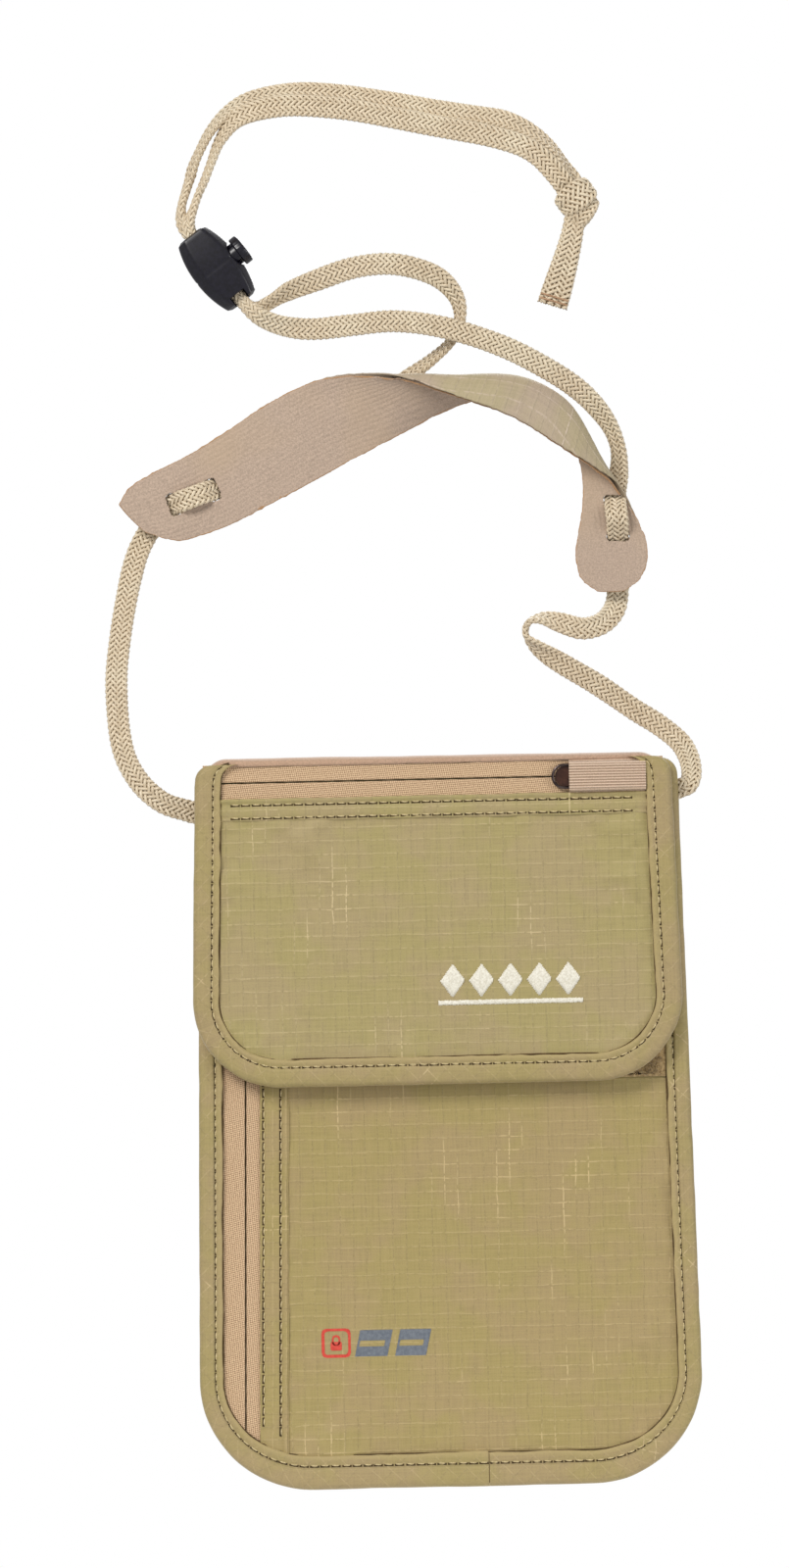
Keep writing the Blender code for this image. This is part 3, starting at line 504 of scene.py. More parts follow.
LOOKS = {
    "ripstop": ripstop_look("ripstop_khaki", (0.382, 0.308, 0.136)),
    "front_ripstop": ripstop_look("ripstop_front", (0.372, 0.286, 0.116)),
    "pad_ripstop": ripstop_look("ripstop_pad", (0.42, 0.34, 0.225)),
    "binding": ripstop_look("binding_bias", (0.372, 0.288, 0.125), bias=True, strength=0.75),
    "tape": zip_tape_look(),
    "skin": skin_look("skin_fabric_brushed", (0.49, 0.375, 0.29)),
    "pad_skin": skin_look("skin_fabric_pad", (0.455, 0.345, 0.265), edged=True),
    "roll": skin_look("rolled_edge", (0.47, 0.31, 0.215)),
    "ribbon": ribbon_look(),
    "cord": cord_look(),
    "floor": floor_look(),
}
# name, material, darkest and lightest colour, scale of the grain, roughness, bump and its depth, metal, sheen
for name, *settings in (
    ("cord_seam", "cord_seam", (0.34, 0.19, 0.10), (0.50, 0.31, 0.18), 700, 0.6),
    # Painted shade between the braid's strands.
    ("cord_core", "cord_shadow", (0.15, 0.09, 0.04), (0.23, 0.145, 0.07), 900, 0.9),
    ("thread", "khaki_thread", (0.42, 0.335, 0.15), (0.68, 0.56, 0.31), 2600, 0.5),
    # Painted shade under the stitches.
    ("hole", "needle_hole", (0.035, 0.02, 0.006), (0.075, 0.045, 0.014), 900, 0.95),
    ("gap", "fold_shadow", (0.075, 0.042, 0.014), (0.13, 0.08, 0.03), 900, 0.95),
    ("white", "white_thread", (0.70, 0.66, 0.54), (0.92, 0.89, 0.79), 2400, 0.5, 0.3, 0.05, 0.0, 0.2),
    ("loop", "loop_pile", (0.24, 0.15, 0.055), (0.56, 0.40, 0.19), 1400, 0.9, 0.3, 0.05, 0.0, 0.3),
    ("gunmetal", "gunmetal", (0.06, 0.042, 0.04), (0.14, 0.105, 0.095), 420, 0.26, 0.08, 0.02, 0.9),
    ("brown_metal", "brown_lacquer", (0.055, 0.022, 0.014), (0.11, 0.045, 0.028), 420, 0.22, 0.08, 0.02,
     0.35),
    ("plastic", "black_plastic", (0.003, 0.0025, 0.006), (0.008, 0.007, 0.015), 1100, 0.30, 0.12, 0.03),
    ("steel", "spring_wire", (0.45, 0.45, 0.45), (0.6, 0.6, 0.6), 500, 0.3, 0.1, 0.02, 1.0),
    ("foil", "shield_film", (0.20, 0.20, 0.20), (0.32, 0.32, 0.31), 160, 0.5, 0.3, 0.2, 0.4),
    ("coil", "nylon_coil", (0.42, 0.30, 0.18), (0.60, 0.45, 0.30), 700, 0.45),
    ("red", "red_print", (0.55, 0.04, 0.025), (0.68, 0.07, 0.045), 1200, 0.6),
    ("slate", "slate_print", (0.115, 0.135, 0.165), (0.175, 0.195, 0.225), 1200, 0.6),
):
    LOOKS[name] = plain_look(*settings)


# Outlines of the pouch and the flap, from the frame -------------------------------------------

TOP_CORNER = 4.5
SEWN_INSET = 2.2  # how far inside the outline the panels end, under the edge tape


class Outline:
    """A tapered panel with rounded lower corners and small upper ones. `taper` is how much wider each half
    is at the bottom, `widths` are the edge tape's at the sides and at the bottom."""

    def __init__(self, node, taper, corner, widths):
        low, high = box_mm(node)
        self.bottom, self.top = low[2], high[2]
        self.centre = 0.5 * (low[0] + high[0])
        self.half_bottom = 0.5 * (high[0] - low[0])
        self.half_top = self.half_bottom - taper
        self.corner = corner
        self.back, self.front = high[1], low[1]
        self.widths = widths

    def half(self, z):
        """Half width at a height, above the lower corners."""
        share = (self.top - z) / (self.top - self.bottom - self.corner)
        return self.half_top + (self.half_bottom - self.half_top) * np.clip(share, 0, 1)

    def path(self, step):
        """Points (x, z), inward directions and distances along the edge, left top to right top."""
        low_centre = self.bottom + self.corner
        left = [
            (TOP_CORNER - self.half_top - TOP_CORNER * math.sin(t),
             self.top - TOP_CORNER + TOP_CORNER * math.cos(t),
             1.0, 0.0)
            for t in np.linspace(0, math.pi / 2, 9)
        ]
        wall = np.linspace(self.top - TOP_CORNER, low_centre, 40)[1:-1]
        left += [(-self.half(z), z, 1.0, 0.0) for z in wall]
        left += [
            (-self.half_bottom + self.corner - self.corner * math.cos(t),
             low_centre - self.corner * math.sin(t),
             math.cos(t), math.sin(t))
            for t in np.linspace(0, math.pi / 2, 40)
        ]
        left = np.array(left)
        rows = np.vstack([left, left[::-1] * (-1, 1, -1, 1)])
        rows = rows[np.r_[True, np.linalg.norm(np.diff(rows[:, :2], axis=0), axis=1) > 1e-6]]
        along = run_of(rows[:, :2])
        wanted = np.linspace(0, along[-1], max(2, int(along[-1] / step)))
        rows = read_off(wanted, along, rows)
        rows[:, 0] += self.centre
        return rows[:, :2], rows[:, 2:], wanted

    def depth(self, x, z):
        """Distance in from the sides and the bottom."""
        off_centre = np.abs(x - self.centre)
        over = np.maximum(off_centre - (self.half_bottom - self.corner), 0)
        under = np.maximum(self.bottom + self.corner - z, 0)
        round_in = self.corner - np.hypot(over, under)
        straight_in = np.minimum(self.half(z) - off_centre, z - self.bottom)
        return np.where((under > 0) & (over > 0), round_in, straight_in)

    def sewn(self, x, z):
        return self.depth(x, z) > SEWN_INSET

    def tape_width(self, z):
        drop = np.clip(1.0 - (z - self.bottom) / self.corner, 0, 1)
        return self.widths[0] + (self.widths[1] - self.widths[0]) * drop**2


BODY = Outline("body_binding", 3.2, 30.5, (6.4, 9.4))
FLAP = Outline("flap_binding", 1.9, 24.0, (7.1, 7.6))


# Seams ----------------------------------------------------------------------------------------


def stitch_wave(along):
    """1 at the needle holes, 0 half way between."""
    return 0.5 + 0.5 * np.cos(2 * np.pi * along / STITCH_PITCH)


def seam_line(x0, z0, x1, z1, level, step=0.5):
    """Points along a straight seam at one level."""
    count = max(2, int(math.hypot(x1 - x0, z1 - z0) / step))
    return np.column_stack([np.linspace(x0, x1, count), np.full(count, level), np.linspace(z0, z1, count)])


def shade_line(name, seam, body, wide, deep):
    """The dark gap under a fold, as painted shadow: a flat, unevenly wide cord of shade colour."""
    side = np.cross(unit(np.gradient(seam, axis=0)), FRONT)
    width = wide * (0.8 + 0.45 * line_noise(run_of(seam), 7.0, 1.1, 121))
    across, through = side * width[:, None], np.multiply(FRONT, deep) + 0 * side
    points, groups = tubes(seam[None], across[None], through[None], sides=8)
    return new_piece(name, points, groups, "gap", body)


def stitches(name, seam, body, out=FRONT):
    """A row of single stitches along a seam, each one dipping into its needle holes, on a dark bed of painted
    shade.
    """
    sink, rise, skew, bed_half = 0.22, 0.10, 0.1, 0.32
    along = run_of(seam)
    count = int((along[-1] - 0.5) / STITCH_PITCH)
    starts = 0.4 + STITCH_PITCH * np.arange(count) + rng.uniform(-0.12, 0.12, count)
    share = np.linspace(0, 1, 7)
    flat = read_off(starts[:, None] + STITCH_LENGTH * share[None], along, seam)
    out = np.array(out)
    side = np.cross(unit(np.gradient(flat, axis=1)), out)
    arch = np.sin(np.pi * share)
    lift = (-sink + (sink + rise) * arch**0.6)[None, :, None] * out
    lean = (rng.uniform(-1, 1, count) * skew)[:, None] * (share - 0.5)[None] + skew * (share - 0.5)[None]
    fat = THREAD * (0.55 + 0.45 * arch)[None, :, None]
    points, groups = tubes(flat + lift + side * lean[..., None], side * fat, out * fat * 0.85)
    new_piece(name, points, groups, "thread", body)
    # The bed under each stitch is painted shade: a dark strip where the thread sinks into the cloth and its
    # needle holes.
    middle = flat.mean(axis=1, keepdims=True)
    flat = middle + (flat - middle) * (1 + 0.45 * (STITCH_PITCH - STITCH_LENGTH) / STITCH_LENGTH)
    bed = flat - out * 0.03 + side * 0.30
    wide = (bed_half + 0.10 * np.abs(2 * share - 1) ** 3)[None, :, None] * np.ones_like(side)
    points, groups = tubes(bed, side * wide, out * 0.20 + 0 * bed)
    new_piece(name + "_shade", points, groups, "hole", body)


# Edge tape ------------------------------------------------------------------------------------

TAPE_SEAM = 1.85  # distance of the tape's stitches from its inner edge
PUCKER_DEPTH = 0.14


def make_binding(name, outline, body, node, seed, join_x=None):
    """Bias tape folded round the edge: rounded outside, puckered and sewn near its inner edge. At join_x
    along the bottom, one end of the tape laps over the other."""
    edge, inward, along = outline.path(0.55)
    width = outline.tape_width(edge[:, 1])
    middle, deep = 0.5 * (outline.back + outline.front), 0.5 * (outline.back - outline.front)
    # across the tape, from its inner front edge round the outside: share of width, height
    sewn = 1.0 - TAPE_SEAM / outline.widths[0]
    section = [(1.0, -0.62), (0.995, -0.15), (0.975, 0.12), (0.93, 0.22), (0.88, 0.2), (sewn + 0.06, 0.05),
               (sewn, -0.22), (sewn - 0.06, 0.0), (0.66, 0.12), (0.55, 0.18), (0.42, 0.2), (0.3, 0.16),
               (0.2, 0.05), (0.12, -0.2), (0.06, -0.65), (0.02, -1.3), (0.0, -deep)]
    lap = np.zeros(len(along))
    if join_x is not None:
        at_join = np.argmin(np.abs(edge[:, 0] - join_x) + 10 * (edge[:, 1] > outline.bottom + 3))
        lap = smoothstep(along[at_join] - 16.0, along[at_join] - 2.0, along) * (along <= along[at_join])
    ruffle, wave = line_noise(along, 4.0, 1.5, seed), stitch_wave(along)
    fray = line_noise(along, 6.0, 4.5, seed + 1) + 0.5 * line_noise(along, 2.3, 9.5, seed + 2)
    wobble = line_noise(along, 5.0, 2.5, seed + 5)

    def at(distance, y):
        place = edge + inward * np.reshape(distance, (-1, 1))
        return np.column_stack([place[:, 0], y + 0 * along, place[:, 1]])

    rows, uvs = [], []
    for side, part in ((1, section), (-1, section[-2::-1])):
        for share, lift in part:
            height = lift + 0.12 * ruffle * (1 - abs(2 * share - 1)) + 0.3 * lap
            height = height - PUCKER_DEPTH * bell(share - sewn, 0.14) * (wave - 0.5)
            reach = width * share - 0.12 * wobble * (share < 0.1)
            if share > 0.9:
                height = height + 0.10 * fray
                reach = reach + 0.22 * fray + 0.5 * lap
            rows.append(at(reach, middle - side * (deep + height)))
            uvs.append(np.column_stack([along, (1 - share) * width * side + TAPE_EDGE_V]))
    rings = np.stack(rows, axis=1)
    capped_tube(name, rings, "binding", body, uv=np.stack(uvs, axis=1), replaces=(node,), slot="binding")
    stitches(name + "_stitches", at(width * sewn, outline.front + 0.16 - 0.3 * lap), body)
    shade_line(name + "_gap", at(width + 0.12, outline.front + 1.0)[7:-7], body, 0.22, 0.3)
    if join_x is not None:
        # Painted shadow under the lapped end of the tape.
        fold = rings[at_join + 1, 1:len(section) - 3] + (0.05, -0.05, 0.0)
        shade_line(name + "_join", fold, body, 0.13, 0.12)
    stitches(name + "_stitches_back", at(width * sewn, outline.back - 0.16 + 0.3 * lap), body, BACK)


# Cloth ----------------------------------------------------------------------------------------

SHEET_CELL, SHEET_FRAMES = 2.6, 18
CLOTH = dict(quality=6, mass=0.12, tension_stiffness=18, compression_stiffness=14, shear_stiffness=6,
             bending_stiffness=0.12, vertex_group_mass="sewn", use_pressure=True)


def simulated(gx, gz, start, sewn, pressure, grow):
    """Height of a sheet that is sewn where told and a little larger than its place, by a cloth simulation."""
    piece = new_piece("cloth", np.stack([gx, -start, gz], axis=-1), [grid_faces(*gx.shape)], "ripstop", None)
    group = piece.vertex_groups.new(name="sewn")
    group.add([int(i) for i in np.flatnonzero(sewn.ravel())], 1.0, "REPLACE")
    cloth = piece.modifiers.new("cloth", "CLOTH")
    for key, value in CLOTH.items():
        setattr(cloth.settings, key, value)
    cloth.settings.shrink_min = -grow
    cloth.settings.uniform_pressure_force = pressure
    cloth.settings.effector_weights.gravity = 0.0
    cloth.collision_settings.use_collision = False
    cloth.point_cache.frame_start = 1
    cloth.point_cache.frame_end = SHEET_FRAMES + 1
    scene = bpy.context.scene
    for number in range(1, SHEET_FRAMES + 1):
        scene.frame_set(number)
    shaped = piece.evaluated_get(bpy.context.evaluated_depsgraph_get()).data
    flat = np.empty(len(shaped.vertices) * 3, dtype=np.float32)
    shaped.vertices.foreach_get("co", flat)
    relief = -flat.reshape(*gx.shape, 3)[:, :, 1] / MM
    scene.frame_set(1)
    bpy.data.objects.remove(piece, do_unlink=True)
    return relief


def cloth_relief(outline, z_low, z_high, inset, pressure, grow, seed, x_low=None):
    """The relief of a filled panel as a function of (x, z), positive towards the front."""
    low = outline.centre - outline.half_bottom if x_low is None else x_low
    xs = np.arange(low, outline.centre + outline.half_bottom + SHEET_CELL, SHEET_CELL)
    zs = np.arange(z_low, z_high + SHEET_CELL, SHEET_CELL)
    gx, gz = np.meshgrid(xs, zs, indexing="ij")
    start = 0.25 * value_noise(gx / 9.0, gz / 11.0, seed)
    margin = SHEET_CELL * 0.6
    sewn = (outline.depth(gx, gz) < inset + 0.5) | (gz < z_low + margin) | (gz > z_high - margin)
    if x_low is not None:
        sewn |= gx < x_low + margin
    relief = simulated(gx, gz, start, sewn, pressure, grow)
    relief = np.clip(relief, -0.6, 1.6)

    def at(x, z):
        i = np.clip((x - xs[0]) / SHEET_CELL, 0, len(xs) - 1.001)
        j = np.clip((z - zs[0]) / SHEET_CELL, 0, len(zs) - 1.001)
        return blended(relief, i, j)

    return at


def yarn_steps(low, high, pitch):
    """Positions with three points on each heavy yarn and a few between, aligned to the grid."""
    offsets = np.array([-0.24, 0.0, 0.24, 0.9, 1.85, 2.75])
    numbers = np.arange(math.floor(low / pitch), math.ceil(high / pitch) + 1)
    found = (numbers[:, None] * pitch + offsets[None]).ravel()
    return found[(found >= low) & (found <= high)]


def yarn_height(x, z):
    on_u = bell((x / GRID_U - np.round(x / GRID_U)) * GRID_U, 0.2)
    on_v = bell((z / GRID_V - np.round(z / GRID_V)) * GRID_V, 0.2)
    return 0.05 * np.maximum(on_u, on_v)


def ripstop_sheet(name, kept, low, high, level, body, node, look="ripstop", facing=-1, slot="ripstop"):
    """A sheet of ripstop whose heavy yarns stand up from it."""
    xs, zs = yarn_steps(low[0], high[0], GRID_U), yarn_steps(low[1], high[1], GRID_V)
    gx, gz = np.meshgrid(xs, zs, indexing="ij")
    points = np.stack([gx, level(gx, gz) + facing * yarn_height(gx, gz), gz], axis=-1)
    sheet(name, points, kept(gx, gz), look, body, facing, (gx, gz), 0.3, replaces=(node,), slot=slot)


def plain_sheet(name, kept, low, high, step, level, look, body, node, slot, thickness, swell, facing=-1):
    """A softly uneven sheet."""
    xs, zs = (np.arange(low[k], high[k] + step, step) for k in (0, 1))
    gx, gz = np.meshgrid(xs, zs, indexing="ij")
    relief = value_noise(gx / 24.0, gz / 20.0, 7) + 0.3 * value_noise(gx / 7.0, gz / 9.0, 8)
    points = np.stack([gx, level + facing * swell * relief, gz], axis=-1)
    sheet(name, points, kept(gx, gz), look, body, facing, (gx, gz), thickness, replaces=(node,), slot=slot)


def gathers(x, z, inset, seed, reach=9.0, upright=False):
    """Short gathers that run in from a seam, level or upright, and die out."""
    fade = np.exp(-np.maximum(inset, 0) / reach) * smoothstep(0.0, 1.5, inset)
    if upright:
        return fade * value_noise(x / 3.4, z / 15.0, seed)
    return fade * value_noise(x / 15.0, z / 3.4, seed + 1)


# Zips -----------------------------------------------------------------------------------------

STRIP_THICKNESS = 0.3
ZIP_LIP = [(0.2, -0.45), (0.22, 0.12), (0.5, 0.26), (0.9, 0.22), (1.6, 0.12)]  # offset from the slit, height
COIL_PITCH, COIL_HALF, COIL_SIDE = 0.95, 0.6, 1.05


def twill(along, across):
    """Herringbone grain of a zip tape."""
    turn = np.where(np.floor(across / 1.7) % 2 == 0, 1.0, -1.0)
    return 0.06 * np.sin(2 * np.pi * (along / 1.1 + turn * across / 1.5))


def line_axes(start, end):
    """Length of a line in the panel's plane, its direction and the direction to its left, as (x, z)."""
    length = math.hypot(end[0] - start[0], end[1] - start[1])
    forward = (np.array(end) - np.array(start)) / length
    return length, forward, np.array([-forward[1], forward[0]])


def fine_strip(name, start, end, profile, front, look, body, outline, node, slot, step=0.3, texture=None,
               pucker=(), wander=None):
    """A strip from start to end whose section is given as (offset to the left, height), with its weave in its
    geometry and its ends cut to an outline."""
    length, forward, left = line_axes(start, end)
    offsets, heights = np.array(profile).T
    fine = [offsets[:1]]
    for a, b in zip(offsets, offsets[1:]):
        fine.append(np.linspace(a, b, max(1, round(abs(b - a) / step)) + 1)[1:])
    along = np.linspace(0, length, int(length / step))
    down, across = np.meshgrid(along, np.concatenate(fine), indexing="ij")
    lift = np.interp(across, offsets, heights) + 0.05 * value_noise(down / 6.0, across / 4.0, 21)
    for place, strength in pucker:
        lift = lift - strength * bell(across - place, 0.5) * (0.45 + stitch_wave(down))
    if texture:
        lift = lift + texture(down, across)
    if wander:
        across = across + wander(down, across)
    x = start[0] + forward[0] * down + left[0] * across
    z = start[1] + forward[1] * down + left[1] * across
    points = np.stack([x, front - lift, z], axis=-1)
    sheet(name, points, outline.sewn(x, z), look, body, -1, (down, across), STRIP_THICKNESS, replaces=(node,),
          slot=slot)


def zip_tape(name, start, end, side, tail, front, body, outline, node):
    """Half of a zip's tape, left (1) or right (-1) of the line; `tail` is its section past the coil."""
    profile = [(side * offset, height) for offset, height in ZIP_LIP + tail][::side]
    fine_strip(name, start, end, profile, front, "tape", body, outline, node, "zip_tape", texture=twill)


def coil(name, start, end, body, node):
    """A nylon coil: one flattened helix."""
    length, forward, left = line_axes(start, end)
    turns = length / COIL_PITCH
    share = np.linspace(0, 1, int(turns * 10))
    angle = 2 * np.pi * turns * share
    x = start[0] + (end[0] - start[0]) * share + left[0] * COIL_HALF * np.cos(angle)
    z = start[1] + (end[1] - start[1]) * share + left[1] * COIL_HALF * np.cos(angle)
    low, high = box_mm(node)
    centres = np.stack([x, 0.5 * (low[1] + high[1]) + 0.26 * np.sin(angle), z], axis=-1)[None]
    tangent = unit(np.gradient(centres, axis=1))
    spine = np.array([forward[0], 0.0, forward[1]])
    across = unit(spine - tangent * (tangent @ spine)[..., None])
    points, groups = tubes(centres, across * 0.24, np.cross(tangent, across) * 0.2)
    new_piece(name, points, groups, "coil", body, replaces=(node,), slot="zip_coil")


# Pouch body -----------------------------------------------------------------------------------

FRONT_ZIP_X, FRONT_ZIP_REF_Z, FRONT_ZIP_LEAN = -54.9, -38.0, 0.0208


def on_front_zip(z, aside=0.0):
    return FRONT_ZIP_X + FRONT_ZIP_LEAN * (z - FRONT_ZIP_REF_Z) + aside, z


make_binding("edge_tape_body", BODY, "pouch", "body_binding", 5, join_x=10.2)
body_relief = cloth_relief(BODY, -97.0, 84.0, 6.8, pressure=2.2, grow=0.03, seed=3, x_low=-43.0)
panel_front = front_of("front_panel") + 0.12


def front_level(x, z):
    seam = x - on_front_zip(z)[0] - 11.0
    relief = 0.6 * body_relief(x, z) * smoothstep(0.0, 3.0, seam) + 0.30 * gathers(x, z, seam, 101)
    relief = relief + 0.28 * gathers(x, z, BODY.half(z) - 6.5 - np.abs(x - BODY.centre), 104)
    relief = relief + 0.32 * gathers(x, z, z - BODY.bottom - 9.6, 107, 14.0, upright=True)
    return panel_front - np.clip(relief, -0.35, 1.2)


ripstop_sheet("pocket_front", lambda x, z: BODY.sewn(x, z) & (x > on_front_zip(z)[0] + 9.9),
              (-48.0, -98.0), (70.0, 84.0), front_level, "pouch", "front_panel", "front_ripstop")

zip_line = on_front_zip(73.0), on_front_zip(-90.0)
for label, side, tail in (("left", -1, [(5.0, 0.1), (8.2, 0.05)]), ("right", 1, [(3.6, 0.1), (7.0, 0.0)])):
    zip_tape("pocket_zip_tape_" + label, *zip_line, side, tail, front_of("front_zip_tape_left"), "pouch",
             BODY, "front_zip_tape_" + label)
fine_strip("pocket_zip_facing", *zip_line,
           [(3.9, 0.0), (3.95, 0.22), (4.15, 0.42), (4.6, 0.44), (5.1, 0.3), (5.7, 0.42), (7.0, 0.5),
            (8.4, 0.46), (9.2, 0.42), (9.75, 0.26), (10.4, 0.5), (11.0, 0.66), (11.45, 0.6), (11.65, 0.3),
             (11.5, -0.1)],
           front_of("front_zip_facing") + 0.3, "front_ripstop", "pouch", BODY, "front_zip_facing", "binding",
           0.4, pucker=((5.0, 0.12), (9.7, 0.14)),
           wander=lambda down, across: 0.16 * line_noise(down, 9.0, 0, 31) * smoothstep(9.0, 11.0, across))
for label, aside, low_z in (("left", 5.0, -84.0), ("right", 9.7, -86.82)):
    stitches("pocket_facing_stitches_" + label,
             seam_line(*on_front_zip(66.0, aside), on_front_zip(-84.0, aside)[0], low_z,
                       front_of("front_zip_facing") + 0.02), "pouch")
for label, side in (("left", -COIL_SIDE), ("right", COIL_SIDE)):
    coil("pocket_zip_coil_" + label, on_front_zip(68.0, side), on_front_zip(-82.0, side), "pouch",
         "front_zip_coil_" + label)

back_relief = cloth_relief(BODY, -97.0, 97.0, 7.4, pressure=2.0, grow=0.025, seed=14)
ripstop_sheet("back_skin_panel", BODY.sewn, (-70.0, -98.0), (71.0, 98.6),
              lambda x, z: -0.45 + 0.25 * np.clip(back_relief(x, z), -0.5, 1.4),
              "pouch", "back_panel", "skin", facing=1, slot="skin_fabric")
for name, node, top, step, look, slot, thickness, swell in (
    ("shield_film", "rfid_shield", 84.6, 1.6, "foil", "shield_foil", 0.12, 0.08),
    ("pocket_divider", "divider_panel", 83.8, 1.2, "ripstop", "ripstop", 0.2, 0.1),
):
    plain_sheet(name, lambda x, z: BODY.depth(x, z) > 3.0, (-68, -97), (70, top), step, front_of(node), look,
                "pouch", node, slot, thickness, swell)


def pile(name, low, high, level, facing, body, height, count=0):
    """Short bent fibres standing on a strip: so many loops, or rows of hooks where there is no count."""
    if count:
        x, z = (rng.uniform(low[k] + 0.6, high[k] - 0.6, count) for k in (0, 2))
    else:
        spots = [np.linspace(low[k] + 1, high[k] - 1, int((high[k] - low[k]) / pitch))
                 for k, pitch in ((0, 1.5), (2, 1.4))]
        x, z = (spot.ravel() + rng.uniform(-0.15, 0.15, spot.size)
                for spot in np.meshgrid(*spots, indexing="ij"))
    heading = rng.uniform(0, 2 * np.pi, len(x))
    reach = (0.75 if count else 0.5) * rng.uniform(0.7, 1.2, len(x))
    tall = height * rng.uniform(0.75, 1.0, len(x))
    share = np.linspace(0, 1, 5)
    arch = np.sin(np.pi * share * (1.0 if count else 0.72))
    run = (share - 0.5)[None] * reach[:, None] * 2
    centres = np.stack([
        x[:, None] + np.cos(heading)[:, None] * run,
        level + facing * (tall[:, None] * arch[None]),
        z[:, None] + np.sin(heading)[:, None] * run,
    ], axis=-1)
    side = np.stack([-np.sin(heading), 0 * heading, np.cos(heading)], axis=-1)[:, None] + 0 * centres
    up = np.array([0.0, facing, 0.0]) + 0 * centres
    points, groups = tubes(centres, side * 0.09, up * 0.08, sides=4)
    new_piece(name, points, groups, "loop", body)


low, high = box_mm("loop_tape")
plain_sheet("loop_strip", BODY.sewn, low[::2], high[::2], 0.9, high[1] - 0.35, "loop", "pouch", "loop_tape",
            "hook_and_loop", 0.4, 0.08)
pile("loop_strip_pile", low, high, high[1] - 0.35, -1, "pouch", 0.6, 5200)
for label, z in (("lower", low[2] + 1.2), ("upper", high[2] - 1.2)):
    stitches("loop_strip_stitches_" + label, seam_line(low[0] + 1, z, high[0] - 1, z, high[1] - 0.5), "pouch")


# Small print on the pocket: a lock sign in a rounded square, and two slanted bars -------------

PRINT_LIFT = 0.085
ICON_X, ICON_Z = -30.6, -59.4


def within(shape, x, z):
    """True inside a polygon."""
    found = np.zeros(x.shape, dtype=bool)
    for (x0, z0), (x1, z1) in zip(shape, np.roll(shape, -1, axis=0)):
        if z0 != z1:
            found ^= ((z0 > z) != (z1 > z)) & (x < (x1 - x0) * (z - z0) / (z1 - z0) + x0)
    return found


def decal(name, corners, look, cell, hole=None):
    """A thin printed shape on the pocket: the cells of a fine grid inside a polygon and not in a hole."""
    corners = np.array(corners)
    low, high = corners.min(axis=0), corners.max(axis=0)
    gx, gz = np.meshgrid(*(np.arange(low[k], high[k] + cell, cell) for k in (0, 1)), indexing="ij")
    inside = within(corners, gx, gz)
    if hole is not None:
        inside &= ~within(np.array(hole), gx, gz)
    points = np.stack([gx, front_level(gx, gz) - PRINT_LIFT, gz], axis=-1).reshape(-1, 3)
    faces, used = kept_cells(*gx.shape, inside, corners=3)
    facing_y(new_piece(name, points[used], [faces], look, "pouch"), -1)


def rounded(up, half_x, half_z, radius):
    """A rounded rectangle, raised from the icon's centre."""
    corners = []
    for quarter, (sx, sz) in enumerate(((1, 1), (-1, 1), (-1, -1), (1, -1))):
        for turn in quarter * math.pi / 2 + np.linspace(0, math.pi / 2, 6):
            corners.append((ICON_X + sx * (half_x - radius) + radius * math.cos(turn),
                            ICON_Z + up + sz * (half_z - radius) + radius * math.sin(turn)))
    return corners


decal("print_frame", rounded(0.0, 4.0, 4.0, 1.3), "red", 0.14, rounded(0.0, 3.15, 3.15, 0.8))
decal("print_lock_body", rounded(-0.85, 1.55, 1.2, 0.35), "red", 0.14)
decal("print_lock_bow", rounded(0.75, 1.15, 1.5, 1.1), "red", 0.12, rounded(0.6, 0.65, 1.05, 0.6))
for number, (x, wide) in enumerate(((-25.6, 9.0), (-14.6, 8.6))):
    decal(f"print_bar_{number}", [(x, -63.2), (x + wide, -63.2), (x + wide + 1.6, -56.0), (x + 1.6, -56.0)],
          "slate", 0.15,
          [(x + 1.3, -60.4), (x + wide - 0.9, -60.4), (x + wide - 0.6, -59.0), (x + 1.6, -59.0)])


# Flap -----------------------------------------------------------------------------------------

FLAP_ZIP_Z = 94.4

make_binding("edge_tape_flap", FLAP, "flap", "flap_binding", 17)
flap_relief = cloth_relief(FLAP, 12.0, 86.0, 7.8, pressure=2.6, grow=0.035, seed=8)
face_front = front_of("flap_face") + 0.1
tape_front = front_of("flap_zip_tape_lower")


def flap_level(x, z):
    sides = FLAP.half(z) - 7.3 - np.abs(x - FLAP.centre)
    relief = 0.65 * flap_relief(x, z) + 0.28 * gathers(x, z, sides, 111)
    relief = relief + 0.34 * gathers(x, z, 84.6 - z, 114, 12.0, upright=True)
    relief = relief + 0.26 * gathers(x, z, z - FLAP.bottom - 7.7, 117, 8.0, upright=True)
    return face_front - np.clip(relief, -0.3, 1.2)


ripstop_sheet("flap_front", lambda x, z: FLAP.sewn(x, z) & (z < 86.2), (-68.0, 12.0), (66.5, 86.4),
              flap_level, "flap", "flap_face")
plain_sheet("flap_inner_lining", lambda x, z: FLAP.sewn(x, z) & (z < 98.8), (-68, 12), (66.5, 98.8), 1.2,
            box_mm("flap_lining")[1][1], "ripstop", "flap", "flap_lining", "ripstop", 0.2, 0.1, facing=1)
zip_line = (-64.5, FLAP_ZIP_Z), (63.5, FLAP_ZIP_Z)
zip_tape("flap_zip_tape_top", *zip_line, 1, [(5.0, 0.1)], tape_front, "flap", FLAP, "flap_zip_tape_upper")
zip_tape("flap_zip_tape_under", *zip_line, -1, [(4.4, 0.1), (7.4, 0.0)], tape_front, "flap", FLAP,
         "flap_zip_tape_lower")
fine_strip("flap_facing", (-64.5, 87.0), (63.5, 87.0),
           [(-3.2, -0.1), (-3.1, 0.3), (-2.95, 0.52), (-2.4, 0.46), (-2.1, 0.34), (-1.4, 0.46), (-0.2, 0.52),
            (1.0, 0.44), (1.4, 0.34), (2.0, 0.50), (2.6, 0.72), (2.95, 0.4), (3.05, -0.2)],
           front_of("flap_zip_facing") + 0.3, "ripstop", "flap", FLAP, "flap_zip_facing", "binding", 0.4,
           pucker=((-2.15, 0.12), (1.45, 0.12)),
           wander=lambda down, across: 0.12 * line_noise(down, 9.0, 0, 33))
